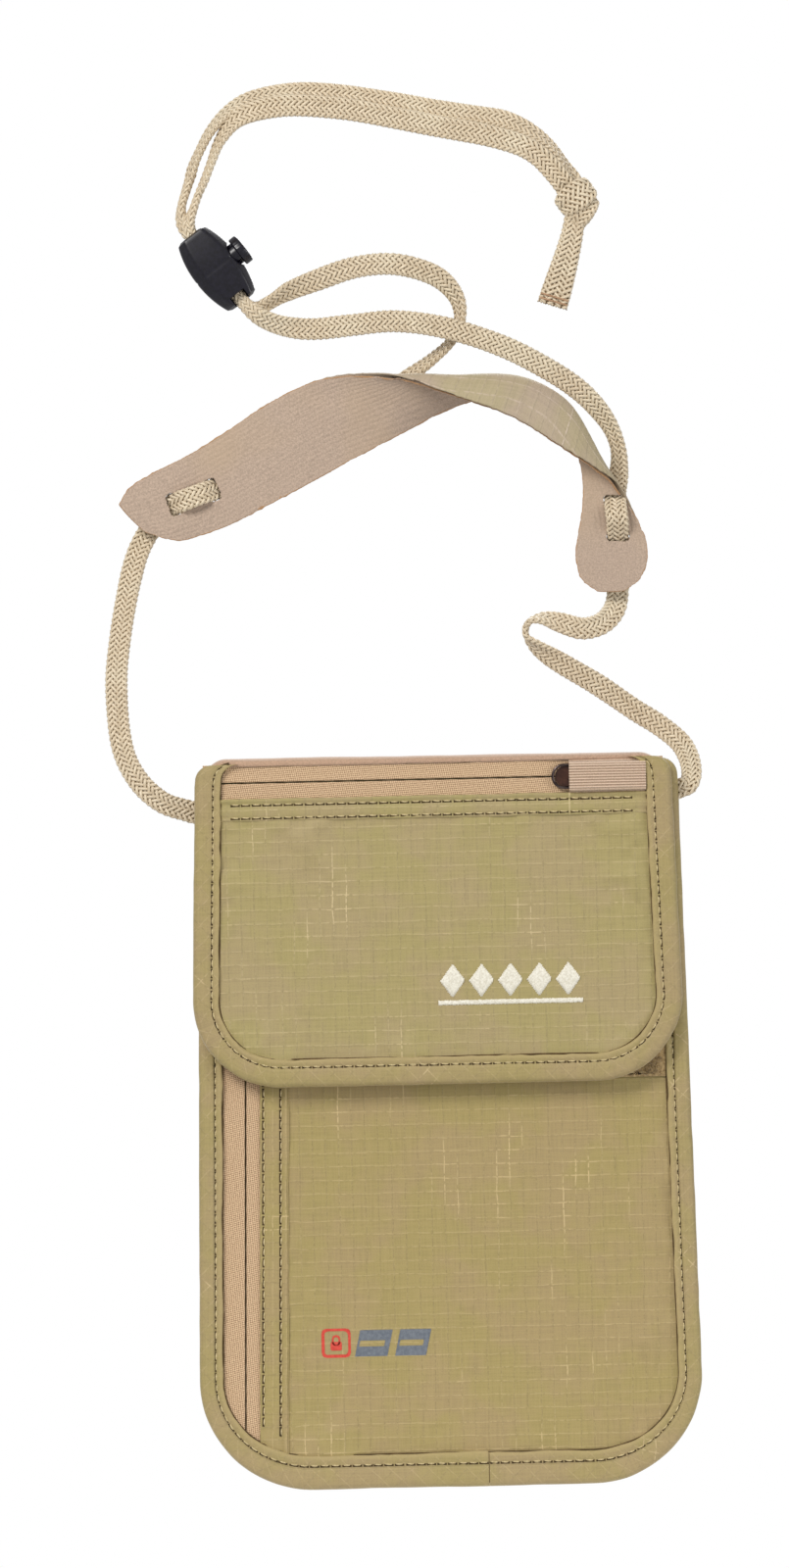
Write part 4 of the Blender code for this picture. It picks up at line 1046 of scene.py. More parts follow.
for label, z in (("lower", 84.85), ("upper", 88.45)):
    seam = seam_line(-56.5, z, 55.8, z, front_of("flap_zip_facing"))
    stitches("flap_facing_stitches_" + label, seam, "flap")
for label, side in (("upper", COIL_SIDE), ("lower", -COIL_SIDE)):
    coil("flap_coil_" + label, (-56.0, FLAP_ZIP_Z + side), (55.0, FLAP_ZIP_Z + side), "flap",
         "flap_zip_coil_" + label)

low, high = box_mm("hook_tape")
plain_sheet("hook_strip", lambda x, z: FLAP.depth(x, z) > 3, low[::2], high[::2], 0.9, low[1] + 0.35, "loop",
            "flap", "hook_tape", "hook_and_loop", 0.3, 0.05, facing=1)
pile("hook_strip_hooks", low, high, low[1] + 0.35, 1, "flap", 0.5)


# Strip that turns over the top edge -----------------------------------------------------------

FOLD_Z = 99.3


def make_top_roll():
    """From the back panel over the fold to the front of the flap, with a rolled, ribbed front edge."""
    low, high = box_mm("top_fold")
    back, front = 0.12, low[1] - 0.5
    over = np.linspace(0, math.pi, 40)[1:-1]
    under = np.linspace(0, math.pi, 9)[1:]
    profile = np.concatenate([
        np.column_stack([np.full(14, back), np.linspace(90.5, 99.0, 14)]),
        np.column_stack([0.5 * (back + front) + 0.5 * (back - front) * np.cos(over),
                         FOLD_Z + (high[2] - FOLD_Z) * np.sin(over) ** 0.6]),
        np.column_stack([front + 0.30 * (1 - np.cos(under)), FOLD_Z - 0.30 * np.sin(under)]),
    ])
    lengths = run_of(profile)
    wanted = np.linspace(0, lengths[-1], 110)
    profile = read_off(wanted, lengths, profile)
    ahead = unit(np.gradient(profile, axis=0))
    out = np.column_stack([-ahead[:, 1], ahead[:, 0]])
    out *= np.where((out * (profile - np.array([-5, 96]))).sum(axis=1) < 0, -1, 1)[:, None]
    x, run = np.meshgrid(np.arange(-61.5, 60.0, 0.4), wanted, indexing="ij")
    lift = 0.05 * np.sin(2 * np.pi * (run / 1.2 + x / 0.9))
    lift = lift + 0.22 * value_noise(x / 17.0, run / 8.0, 41) + 0.10 * value_noise(x / 5.0, run / 3.0, 42)
    y = profile[:, 0] + out[:, 0] * lift
    z = profile[:, 1] + out[:, 1] * lift
    flatter = 0.66 - 0.24 * np.clip((x + 60.0) / 120.0, 0, 1)
    z = np.where(z > FOLD_Z, FOLD_Z + (z - FOLD_Z) * flatter, z)
    ends = np.clip((np.abs(x - FLAP.centre) - 56.5) / 4.5, 0, 1)
    z = z - np.where(z > 97.5, 1, 0) * ends**2 * (z - 97.5) * 0.6
    uv = np.stack([x, run], axis=-1).reshape(-1, 2)
    piece = new_piece("top_roll", np.stack([x, y, z], axis=-1), [grid_faces(*x.shape)], "roll", None, uv,
                      replaces=("top_fold",), slot="skin_fabric")
    thicken(piece, 0.35, offset=0)
    apply_modifiers(piece)
    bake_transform(piece)


def make_garage():
    """Grosgrain ribbon over the end of the zip, with a rolled left end."""
    low, high = box_mm("zip_garage")
    long, tall = high[0] - low[0], high[2] - low[2]
    share = np.linspace(0, 1, 97)
    edge = np.minimum(share, 1 - share) * tall
    arch = smoothstep(0.0, 1.1, edge)
    ribs = 0.13 * np.cos(2 * np.pi * tall * share / RIBBON_RIB) * smoothstep(0.3, 0.9, edge)
    x, z = np.meshgrid(np.arange(low[0], high[0] + 1.2, 0.35), low[2] + tall * share, indexing="ij")
    start = np.clip((x - low[0]) / 1.3, 0, 1)
    slope = smoothstep(0.75, 1.0, (x - low[0]) / long)
    foot, crown = face_front + 0.1, low[1] + 0.05
    y = foot + (crown - foot) * arch * (1 - 0.28 * slope) - ribs - 0.12 * bell(edge - 0.35, 0.25)
    y = y + 0.14 * np.sin(np.pi * np.clip((x - low[0]) / long, 0, 1)) * arch
    y = y + 0.25 * (1 - smoothstep(0.0, 1.3, x - low[0])) * arch
    rolled = np.maximum(x, low[0] + 0.35 * (1 - np.sin(start * math.pi / 2)))
    points = np.stack([rolled, y, z + 0.05 * value_noise(x / 8.0, z / 8.0, 52)], axis=-1)
    uv = np.stack([x, z - low[2]], axis=-1).reshape(-1, 2)
    piece = new_piece("garage_ribbon", points, [grid_faces(*x.shape)], "ribbon", "flap", uv,
                      replaces=("zip_garage",), slot="ribbon")
    facing_y(piece, -1)
    thicken(piece, 0.4)
    seam = seam_line(high[0] + 0.9, low[2] + 0.6, high[0] + 0.9, high[2] - 0.6, tape_front - 0.3)
    shade_line("garage_gap", seam, "flap", 0.5, 0.3)


make_top_roll()
shade_line("top_roll_gap", seam_line(-57.0, 98.95, 55.2, 98.95, tape_front - 0.1), "flap", 0.2, 0.25)
make_garage()


# Embroidered motif: a row of satin-stitched diamonds ------------------------------------------

MOTIF_Z, SATIN_SPACING = 39.2, 0.34


def satin(name, corners, tilt=0.0):
    """Parallel raised threads that fill a convex polygon, sewn on the flap."""
    corners = np.array(corners, dtype=float)
    low, high = corners[:, 0].min(), corners[:, 0].max()
    share = np.linspace(0, 1, 7)
    rows = []
    for x in np.arange(low + SATIN_SPACING * 0.6, high - SATIN_SPACING * 0.3, SATIN_SPACING):
        hits = [z0 + (z1 - z0) * (x - x0) / (x1 - x0)
                for (x0, z0), (x1, z1) in zip(corners, np.roll(corners, -1, axis=0))
                if (x0 - x) * (x1 - x) < 0]
        if len(hits) == 2 and abs(hits[0] - hits[1]) > 0.5:
            a, b = min(hits) + rng.uniform(-0.1, 0.1), max(hits) + rng.uniform(-0.1, 0.1)
            z = a + (b - a) * share
            xs = x + tilt * (share - 0.5)
            lift = 0.34 * np.sin(np.pi * share) ** 0.5
            rows.append(np.column_stack([xs, flap_level(xs, z) - lift + 0.03, z]))
    centres = np.array(rows)
    points, groups = tubes(centres, 0.21 * np.array([1, 0, 0]) + 0 * centres, 0.15 * FRONT + 0 * centres)
    new_piece(name, points, groups, "white", "flap")


for number in range(5):
    x = 3.4 + 7.9 * number
    satin(f"motif_diamond_{number}",
          [(x - 3.4, MOTIF_Z), (x, MOTIF_Z - 4.6), (x + 3.4, MOTIF_Z), (x, MOTIF_Z + 4.6)], tilt=0.2)
satin("motif_bar", [(-0.6, 32.6), (39.0, 32.6), (39.0, 33.9), (-0.6, 33.9)])


# Hard pieces ----------------------------------------------------------------------------------


def keep_node(node, look, bevel):
    """Shows a CAD node with rounded edges and a finer finish."""
    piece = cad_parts[node]
    piece.data.materials.clear()
    piece.data.materials.append(LOOKS[look])
    if bevel:
        round_edges(piece, bevel, 32)


for node in ("flap_zip_slider", "front_zip_slider"):
    keep_node(node, "brown_metal", 0.16)


def make_ring(name, node, place, along, body):
    """D-shaped wire ring, a little flattened, with its bar under the slider's bridge."""
    radius, wire, leg, corner, sides = 3.1, 0.38, 1.9, 0.35, 14
    along = unit(np.array(along))
    across = np.cross(FRONT, along)
    turn = np.linspace(0, math.pi / 2, 6)[1:]
    arc = np.linspace(0, math.pi, 40)
    bar = np.linspace(-radius + corner, radius - corner, 12)
    path = np.concatenate([
        np.column_stack([0 * bar, bar]),
        np.column_stack([-corner * np.sin(turn), radius - corner + corner * np.sin(turn)]),
        np.column_stack([-leg - radius * np.sin(arc), radius * np.cos(arc)]),
        np.column_stack([-corner * np.sin(turn[::-1]), -radius + corner - corner * np.sin(turn[::-1])]),
    ])
    path = path[np.r_[True, np.linalg.norm(np.diff(path, axis=0), axis=1) > 1e-6]]
    tangent = unit(np.roll(path, -1, axis=0) - np.roll(path, 1, axis=0))
    normal = np.column_stack([tangent[:, 1], -tangent[:, 0]])
    low, high = box_mm(node)
    rings = []
    for angle in 2 * math.pi * np.arange(sides) / sides:
        flat = path + normal * (wire * 1.05 * math.cos(angle))
        height = -0.5 * (low[1] + high[1]) + wire * 0.95 * math.sin(angle)
        rings.append(np.array(place) + flat[:, :1] * along + flat[:, 1:] * across + height * FRONT)
    faces = grid_faces(len(path), sides, True, True)
    piece = new_piece(name, np.stack(rings, axis=1), [faces], "gunmetal", body, replaces=(node,),
                      slot="gunmetal")
    turned_out(piece)


make_ring("flap_pull_ring", "flap_zip_pull", (36.9, 0.0, FLAP_ZIP_Z), (1.0, 0.0, 0.0), "flap_ring")
ring_x, ring_z = on_front_zip(62.0)
make_ring("pocket_pull_ring", "front_zip_pull", (ring_x, 0.0, ring_z), (FRONT_ZIP_LEAN, 0.0, 1.0),
          "front_ring")


# Cord lock ------------------------------------------------------------------------------------

LOCK_CENTRE = np.array(Vector((-57.0, 4.0, 235.9)))
LOCK_SIDE, LOCK_AXIS = np.array(Vector((0.8, 0.0, 0.6))), np.array(Vector((-0.6, 0.0, 0.8)))
LOCK_HALF_LENGTH, LOCK_HALF_WIDTH, LOCK_HALF_DEPTH = 11.5, 6.9, 4.6
BORE_BOTTOM, BUTTON_END = -5.1, -2.9


def lock_points(points):
    """From the lock's own directions (side, back, along) to the frame, in millimetres."""
    return LOCK_CENTRE + np.array(points) @ np.array([LOCK_SIDE, BACK, LOCK_AXIS])


def lock_section(half_width, half_depth, sides):
    """Flat front and back, sloping shoulders, the one at the left of the front broader, with soft corners."""
    turn = circle(sides)
    spoke = np.column_stack([np.cos(turn), np.sin(turn)])
    broad = (spoke[:, 0] < 0) & (spoke[:, 1] < 0)
    ridge = np.column_stack([np.where(broad, 0.58, 0.72) * half_width, np.full(sides, half_depth)])
    slope = np.column_stack([np.where(broad, 0.60, 0.62) * half_depth,
                             np.where(broad, 0.42, 0.28) * half_width])
    share = np.abs(spoke)
    shoulder = np.sum(share * slope, axis=1) / np.sum(ridge * slope, axis=1)
    walls = np.column_stack([share[:, 0] / half_width, share[:, 1] / half_depth, shoulder])
    return spoke / (np.sum(walls**30, axis=1) ** (1 / 30))[:, None]


def lock_ring(place, radius, sides):
    """A ring about the button's axis."""
    turn = circle(sides)
    return np.column_stack([np.full(sides, place), radius * np.cos(turn), radius * np.sin(turn)])


def box_cutter(low, high):
    corners = [(x, y, z) for x in (low[0], high[0]) for y in (low[1], high[1]) for z in (low[2], high[2])]
    faces = [(0, 1, 3, 2), (4, 6, 7, 5), (0, 4, 5, 1), (2, 3, 7, 6), (0, 2, 6, 4), (1, 5, 7, 3)]
    return turned_out(new_piece("cutter", lock_points(corners), [faces], "plastic", None, smooth=False))


def round_cutter(start, radius):
    rings = [lock_ring(place, radius, 48) for place in (start, LOCK_HALF_WIDTH + 2)]
    return capped_tube("cutter", lock_points(rings), "plastic", None, smooth=False)


def cut(piece, body, node, tools):
    """Takes the tools' shapes out of a moulded piece, softens its edges and puts it in its place."""
    for tool in tools:
        modifier = piece.modifiers.new("cut", "BOOLEAN")
        modifier.operation = "DIFFERENCE"
        modifier.solver = "EXACT"
        modifier.object = tool
    apply_modifiers(round_edges(piece, 0.16, 50))
    for tool in tools:
        bpy.data.objects.remove(tool, do_unlink=True)
    piece.data.shade_smooth()
    piece.data.set_sharp_from_angle(angle=math.radians(38))
    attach(piece, body)
    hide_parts(node)


def make_lock():
    sides = 96
    rings = []
    for share in np.linspace(-1, 1, 45):
        over = max(0.0, (abs(share) - 0.93) / 0.07)
        rim = 0.9 * (1 - math.sqrt(max(0.0, 1 - over**2)))
        half_width = LOCK_HALF_WIDTH * (1 - 0.34 * abs(share) ** 2.2) - rim
        half_depth = LOCK_HALF_DEPTH * (1 - 0.16 * abs(share) ** 2.2) - rim
        groove = 0.16 * bell(share * LOCK_HALF_LENGTH, 0.22)
        section = lock_section(half_width, half_depth, sides) * (1 - groove / LOCK_HALF_WIDTH)
        rings.append(np.column_stack([section, np.full(sides, LOCK_HALF_LENGTH * share)]))
    reach = LOCK_HALF_LENGTH + 1.0
    cut(capped_tube("lock_barrel", lock_points(rings), "plastic", None), "lock", "cord_lock_body",
        [box_cutter((-2.35, -2.4, -reach), (2.35, 2.4, reach)),
         box_cutter((-2.35, -6.0, -reach), (2.35, -2.0, 2.6 - LOCK_HALF_LENGTH)),
         round_cutter(LOCK_HALF_WIDTH - 2.1, 4.3), round_cutter(BORE_BOTTOM, 3.4)])


def make_button():
    profile = [(BUTTON_END, 0.01), (BUTTON_END, 3.0), (-2.75, 3.15), (7.2, 3.15), (7.2, 3.85), (7.3, 4.08),
               (7.5, 4.15), (9.1, 4.15), (9.35, 4.05), (9.53, 3.84), (9.63, 3.5), (9.65, 3.1), (9.57, 2.7),
               (9.5, 1.6), (9.48, 0.01)]
    sides = 72
    ridges = 0.09 * (np.cos(24 * circle(sides)) > 0)
    rings = [lock_ring(place, radius - (ridges if 7.4 < place < 9.4 and radius > 4.0 else 0.0), sides)
             for place, radius in profile]
    cut(capped_tube("lock_button", lock_points(rings), "plastic", None), "button", "cord_lock_button",
        [box_cutter((-2.1, -2.4, -5.0), (4.4, 2.4, 5.0))])


def make_spring():
    """The coil under the button, from the bottom of its bore to the button's end."""
    radius, wire, turns, steps, sides = 2.2, 0.18, 2.5, 60, 10
    share = np.linspace(0, 1, steps + 1)
    angle = 2 * np.pi * turns * share
    spoke = np.column_stack([0 * share, np.cos(angle), np.sin(angle)])
    centres = spoke * radius
    centres[:, 0] = BORE_BOTTOM + 0.22 + (BUTTON_END - BORE_BOTTOM - 0.44) * share
    turn = circle(sides)[:, None]
    forward = np.array([1.0, 0.0, 0.0])
    rings = centres[:, None] + wire * (np.cos(turn) * spoke[:, None] + np.sin(turn) * forward)
    piece = capped_tube("lock_spring", lock_points(rings), "steel", "lock", replaces=("cord_lock_spring",),
                        slot="spring_steel")
    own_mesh(piece)


make_lock()
make_button()
make_spring()


# Neck strap -----------------------------------------------------------------------------------

# The cords pass through these points (x, y, z) with this turn of their broad side, in degrees.
LEFT_CORD = [
    (-64.6, -3.1, 86.2, 0), (-68.1, -3.0, 87.2, 0), (-75.2, -2.4, 89.8, 0), (-81.8, -0.5, 96.2, 0),
    (-85.9, 1.5, 105.7, 0), (-87.1, 4.0, 121.8, 0), (-85.8, 6.0, 135.2, 0), (-83.3, 8.0, 148.6, 0),
    (-80.7, 9.0, 158.0, 0), (-77.1, 9.3, 164.8, 0), (-73.4, 8.6, 169.2, 0), (-70.4, 5.8, 171.4, 0),
    (-67.0, 3.0, 172.6, 0), (-62.6, 3.1, 174.2, 0), (-59.3, 5.9, 175.3, 0), (-55.8, 8.7, 176.8, 0),
    (-48.0, 9.3, 181.0, 0), (-36.0, 9.8, 187.0, 0), (-22.0, 11.0, 193.5, 0), (-13.0, 12.8, 199.0, 0),
    (-5.5, 13.0, 205.2, 45), (1.4, 11.0, 210.0, 62), (6.8, 9.0, 214.8, 70), (9.4, 7.0, 220.5, 66),
    (8.7, 6.0, 226.5, 48), (4.5, 5.5, 231.7, 26), (-2.1, 5.0, 234.8, 10), (-10.2, 5.0, 236.3, 0),
    (-19.6, 5.0, 235.4, 0), (-29.1, 5.0, 232.4, 12), (-37.2, 4.95, 229.4, 38), (-42.6, 4.95, 226.4, 50),
    (-46.6, 4.95, 224.4, 30), (-49.4, 4.95, 226.0, 0), (-51.6, 4.95, 228.7, 0), (-57.0, 4.95, 235.9, 0),
    (-63.0, 4.95, 243.9, 0), (-65.4, 5.0, 247.0, 8), (-66.5, 5.1, 249.8, 46), (-66.3, 5.3, 253.5, 74),
    (-65.1, 5.4, 257.4, 70), (-63.9, 5.5, 261.0, 66), (-62.9, 5.5, 264.4, 68), (-61.1, 5.6, 268.4, 70),
    (-57.9, 5.6, 274.0, 66), (-53.0, 5.7, 279.2, 56), (-46.4, 5.8, 282.5, 42), (-34.6, 6.2, 284.2, 30),
    (-21.2, 6.6, 283.2, 24), (-7.8, 6.8, 281.0, 22), (5.6, 6.8, 278.3, 22), (17.2, 6.8, 276.4, 24),
    (22.2, 6.8, 275.5, 28), (27.0, 6.8, 273.6, 38), (31.7, 6.6, 270.9, 54), (35.8, 6.4, 267.4, 68),
    (39.2, 6.0, 262.6, 68), (41.2, 5.4, 258.8, 40), (41.6, 4.6, 254.6, 0),
]
RIGHT_CORD = [
    (64.6, -3.1, 89.6, 30), (67.2, -3.0, 90.6, 30), (69.2, -2.6, 91.5, 30), (70.2, -0.4, 94.6, 25),
    (69.6, 3.6, 99.0, 18), (67.2, 7.4, 103.4, 10), (61.6, 10.0, 108.2, 4), (55.3, 10.0, 112.3, 0),
    (45.1, 8.4, 119.5, 0), (35.8, 7.0, 125.2, 10), (29.2, 6.0, 129.6, 50), (25.8, 5.6, 133.4, 90),
    (26.6, 4.6, 137.0, 90), (30.4, 3.8, 138.0, 60), (35.4, 3.4, 136.6, 20), (41.2, 3.6, 134.9, 0),
    (46.6, 5.4, 136.2, 0), (50.2, 8.4, 140.0, 0), (51.4, 10.0, 145.2, 0), (51.7, 10.0, 151.8, 0),
    (51.7, 9.0, 156.2, 0), (51.6, 5.6, 160.2, 0), (51.5, 2.5, 164.0, 0), (51.2, 2.4, 166.6, 0),
    (51.0, 5.4, 169.6, 0), (51.4, 9.6, 173.2, 0), (52.4, 12.2, 178.0, 30), (52.4, 11.6, 184.0, 48),
    (50.2, 9.8, 190.4, 44), (45.6, 7.4, 196.8, 24), (39.9, 5.4, 202.0, 0), (32.2, 3.6, 207.0, 0),
    (22.9, 2.6, 212.0, 0), (12.2, 2.4, 216.2, 0), (1.6, 2.6, 219.1, 0), (-9.2, 3.0, 220.4, 0),
    (-19.9, 3.0, 219.6, 0), (-30.7, 3.0, 218.7, 0), (-38.6, 3.05, 219.6, 28), (-44.4, 3.05, 221.8, 36),
    (-48.4, 3.05, 224.8, 16), (-51.6, 3.05, 228.7, 0), (-57.0, 3.05, 235.9, 0), (-63.0, 3.05, 243.9, 0),
    (-64.4, 3.1, 246.6, 6), (-64.4, 3.1, 249.0, 40), (-63.2, 3.0, 252.0, 74), (-61.8, 2.9, 255.8, 80),
    (-59.8, 2.8, 260.2, 76), (-57.9, 2.8, 265.0, 72), (-55.1, 2.8, 271.4, 60), (-49.6, 2.8, 277.4, 26),
    (-37.4, 2.8, 280.2, 0), (-21.3, 2.8, 279.0, 0), (-7.9, 2.8, 276.3, 0), (5.4, 2.8, 273.4, 0),
    (17.0, 2.9, 271.1, 0), (26.6, 3.0, 268.2, 0), (32.0, 3.1, 265.0, 0), (35.6, 3.2, 261.2, 0),
    (38.4, 3.3, 257.6, 0), (40.6, 3.6, 254.0, 0),
]
PAD_SECTIONS = [
    ((-85.3, 5.5, 171.6), (-82.4, 5.4, 168.0), (-78.2, 5.5, 164.0)),
    ((-82.6, 5.8, 175.9), (-76.4, 5.4, 169.0), (-70.2, 5.6, 161.6)),
    ((-77.3, 6.0, 179.4), (-70.9, 5.6, 170.9), (-64.2, 5.8, 162.4)),
    ((-69.1, 6.2, 183.3), (-62.6, 5.8, 174.2), (-56.0, 6.0, 165.2)),
    ((-55.5, 6.4, 191.0), (-50.4, 6.0, 180.6), (-45.2, 6.2, 170.2)),
    ((-42.0, 6.4, 199.6), (-36.6, 6.2, 188.6), (-31.2, 6.8, 177.5)),
    ((-29.0, 5.4, 205.0), (-24.2, 6.8, 194.8), (-18.6, 8.4, 184.2)),
    ((-17.0, 3.4, 206.0), (-13.0, 6.6, 199.0), (-7.0, 11.0, 190.4)),
    ((-6.5, 1.0, 204.6), (-2.0, 4.6, 203.6), (4.6, 13.2, 196.4)),
    ((6.0, -1.6, 200.0), (10.0, 3.6, 205.0), (15.0, 15.0, 199.6)),
    ((22.5, -3.4, 193.6), (25.4, 3.0, 204.0), (27.0, 15.6, 197.4)),
    ((35.8, -3.2, 185.2), (37.4, 2.6, 197.6), (36.2, 13.6, 190.6)),
    ((44.3, -1.6, 179.6), (44.0, 3.0, 187.6), (41.0, 9.8, 184.6)),
    ((50.4, 1.6, 175.4), (47.0, 4.4, 179.2), (43.0, 7.4, 178.0)),
    ((54.0, 5.2, 170.4), (48.6, 5.9, 171.4), (42.6, 6.4, 171.4)),
    ((57.6, 6.2, 163.2), (49.6, 5.9, 163.2), (41.2, 6.2, 163.2)),
    ((59.6, 6.2, 155.6), (49.8, 5.8, 155.6), (40.0, 6.2, 155.8)),
    ((57.6, 6.2, 148.6), (49.4, 5.9, 148.0), (41.2, 6.2, 148.8)),
    ((52.8, 6.1, 145.0), (49.4, 6.0, 144.8), (45.8, 6.1, 145.0)),
]
# Each slit of the pad lies at (x, z) with this heading in degrees.
PAD_SLITS = [(-70.3, 171.4, 19.0), (-59.4, 175.2, 19.0), (51.6, 160.2, 90.0), (51.0, 169.9, 90.0)]
STRANDS, BRAID_PITCH, STRAND_RISE = 8, 13.0, 0.24
BRAID_STEP = 0.36


def smooth_path(points, steps):
    """A curve through the points, as evenly spaced rows of the same numbers, and their distances along it."""
    rows = np.array(points, dtype=float)
    padded = np.vstack([2 * rows[0] - rows[1], rows, 2 * rows[-1] - rows[-2]])
    t = np.linspace(0, 1, 12, endpoint=False)[:, None]
    fine = [
        0.5 * (2 * start + (end - before) * t + (2 * before - 5 * start + 4 * end - after) * t**2
               + (3 * start - before - 3 * end + after) * t**3)
        for before, start, end, after in zip(padded, padded[1:], padded[2:], padded[3:])
    ]
    fine = np.vstack([*fine, rows[-1]])
    lengths = run_of(fine[:, :3])
    wanted = np.linspace(0.0, lengths[-1], steps)
    return read_off(wanted, lengths, fine), wanted


def braid_steps(length):
    return max(12, int(length / BRAID_STEP))


def cord_axes(path):
    """Across and through directions along a path of (x, y, z, turn)."""
    tangent = unit(np.gradient(path[:, :3], axis=0))
    out = unit(FRONT - tangent * (tangent @ FRONT)[:, None])
    side = np.cross(tangent, out)
    turn = np.radians(path[:, 3])[:, None]
    return side * np.cos(turn) + out * np.sin(turn), out * np.cos(turn) - side * np.sin(turn)


def nip(path):
    """0 away from the lock and 1 inside it and just above it, where the cord is squeezed narrow and thick."""
    offset = path[:, :3] - LOCK_CENTRE
    along = offset @ LOCK_AXIS
    aside = np.linalg.norm(offset - along[:, None] * LOCK_AXIS, axis=1)
    reach = LOCK_HALF_LENGTH + np.where(along > 0, 17.0, 7.5)
    share = np.clip((reach - np.abs(along)) / 6.0, 0, 1)
    share = np.where(aside > LOCK_HALF_WIDTH + 3.0, 0.0, share)
    window = np.hanning(15)
    return np.convolve(share, window / window.sum(), mode="same")


def stadium(share, half_width, half_thick):
    """A point and its outward direction on a flat, round-ended section; share goes once round it."""
    flat = half_width - half_thick
    arc = np.pi * half_thick
    at = np.mod(share, 1.0) * (4 * flat + 2 * arc)
    over, right, under = at < 2 * flat, at < 2 * flat + arc, at < 4 * flat + arc
    angle = np.select([over, right, under], [np.pi / 2, np.pi / 2 - (at - 2 * flat) / half_thick, -np.pi / 2],
                      -np.pi / 2 - (at - 4 * flat - arc) / half_thick)
    base = np.select([over, right, under], [at - flat, flat + 0 * at, 3 * flat + arc - at], -flat)
    return (base + half_thick * np.cos(angle), half_thick * np.sin(angle)), (np.cos(angle), np.sin(angle))


def braid(name, path, along, across, through, half_width, half_thick, replaces=()):
    """A flat braid: strands running both ways round a flattened tube, each over two and under two."""
    for direction, label in ((1, "s"), (-1, "z")):
        number = np.arange(STRANDS)[:, None]
        travel = along / BRAID_PITCH
        share = number / STRANDS + direction * travel
        crossing = 2 * number + direction * 2 * STRANDS * travel
        rise = direction * np.cos(np.pi / 2 * crossing - np.pi / 4)
        (a, b), (out_a, out_b) = stadium(share, half_width, half_thick)
        a, b = a + out_a * STRAND_RISE * rise, b + out_b * STRAND_RISE * rise
        centres = path[:, :3] + across * a[..., None] + through * b[..., None]
        normal = across * out_a[..., None] + through * out_b[..., None]
        side = unit(np.cross(unit(np.gradient(centres, axis=1)), normal))
        sides = 5
        points, groups = tubes(centres, side * 0.46, normal * 0.27, sides)
        v = number[..., None] * 3.0 + np.linspace(0, 1.2, sides) + 0 * share[..., None]
        uv = np.stack([along[:, None] + 0 * v, v], axis=-1).reshape(-1, 2)
        new_piece(f"{name}_strands_{label}", points, groups, "cord", "strap", uv, replaces=replaces,
                  slot="cord")
    # A dark core inside the strands, painted shade that shows between them.
    turn = circle(16)
    wide = (half_width - 0.12)[:, None] * np.sign(np.cos(turn)) * np.abs(np.cos(turn)) ** 0.6
    deep = (half_thick - 0.08)[:, None] * np.sign(np.sin(turn)) * np.abs(np.sin(turn)) ** 0.6
    rings = path[:, None, :3] + across[:, None] * wide[..., None] + through[:, None] * deep[..., None]
    capped_tube(name + "_core", rings, "cord_core", "strap", slot="cord")


def cord(name, points, node):
    path, along = smooth_path(points, braid_steps(smooth_path(points, 400)[1][-1]))
    path[:, 3] += 4.0 * line_noise(along, 14.0, 2.2, 61)
    squeezed = nip(path)
    half_width = 3.0 - 0.25 - 1.2 * squeezed + 0.08 * line_noise(along, 8.0, 5.1, 62) * (1 - squeezed)
    braid(name, path, along, *cord_axes(path), half_width, 0.40 + 0.2 * squeezed, (node,))


cord("cord_left", LEFT_CORD, "neck_cord_left")
cord("cord_right", RIGHT_CORD, "neck_cord_right")


# Knot: two wraps round the bundle and two tails -----------------------------------------------

KNOT_HALF_THICK = 0.42


def tail_braid(name, points, half_width):
    """A braid along points (x, y, z, turn), with a half width at each end."""
    path, along = smooth_path(points, braid_steps(smooth_path(points, 200)[1][-1]))
    wide = half_width[0] + (half_width[1] - half_width[0]) * smoothstep(0.0, 1.0, along / along[-1])
    braid(name, path, along, *cord_axes(path), wide, np.full(len(path), KNOT_HALF_THICK))


def wrap_braid(name, centre, axis, half_wide, half_deep, half_width, replaces=()):
    """A flat cord laid once round a bundle, pinched where it turns at the sides."""
    axis = unit(np.array(axis))
    side = np.array([axis[2], 0.0, -axis[0]])
    angle = np.pi + 2 * np.pi * np.linspace(0, 1, 41)[:, None]
    rows = np.array(centre) + side * half_wide * np.cos(angle) + BACK * half_deep * np.sin(angle)
    outs = unit(side * np.cos(angle) / half_wide + BACK * np.sin(angle) / half_deep)
    wides = half_width * (0.5 + 0.5 * np.abs(np.sin(angle)) ** 0.8)
    lengths = run_of(rows)
    wanted = np.linspace(0, lengths[-1], braid_steps(lengths[-1]))
    path, outs, wides = (read_off(wanted, lengths, values) for values in (rows, outs, wides))
    tangent = unit(np.gradient(path, axis=0))
    through = unit(outs - tangent * np.sum(outs * tangent, axis=1, keepdims=True))
    braid(name, path, wanted, np.cross(tangent, through), through, wides[:, 0],
          np.full(len(path), KNOT_HALF_THICK), replaces)


def seam_ends(tail):
    """Two rows of thread across the tails, just above where they are cut."""
    end = np.array(tail[-1][:3])
    down = unit(end - np.array(tail[-2][:3]))
    across = np.array([-down[2], 0.0, down[0]])
    share = np.linspace(-1, 1, 49)[:, None]
    bead = 0.18 * np.abs(np.sin(np.pi * 6 * share))
    row = end + across * share * 3.9 + FRONT * (0.78 + bead)
    centres = np.array([row - down * back for back in (1.1, 2.3)])
    points, groups = tubes(centres, down * 0.26 + 0 * centres, FRONT * 0.2 + 0 * centres)
    new_piece("tail_seam", points, groups, "cord_seam", "strap", slot="cord")


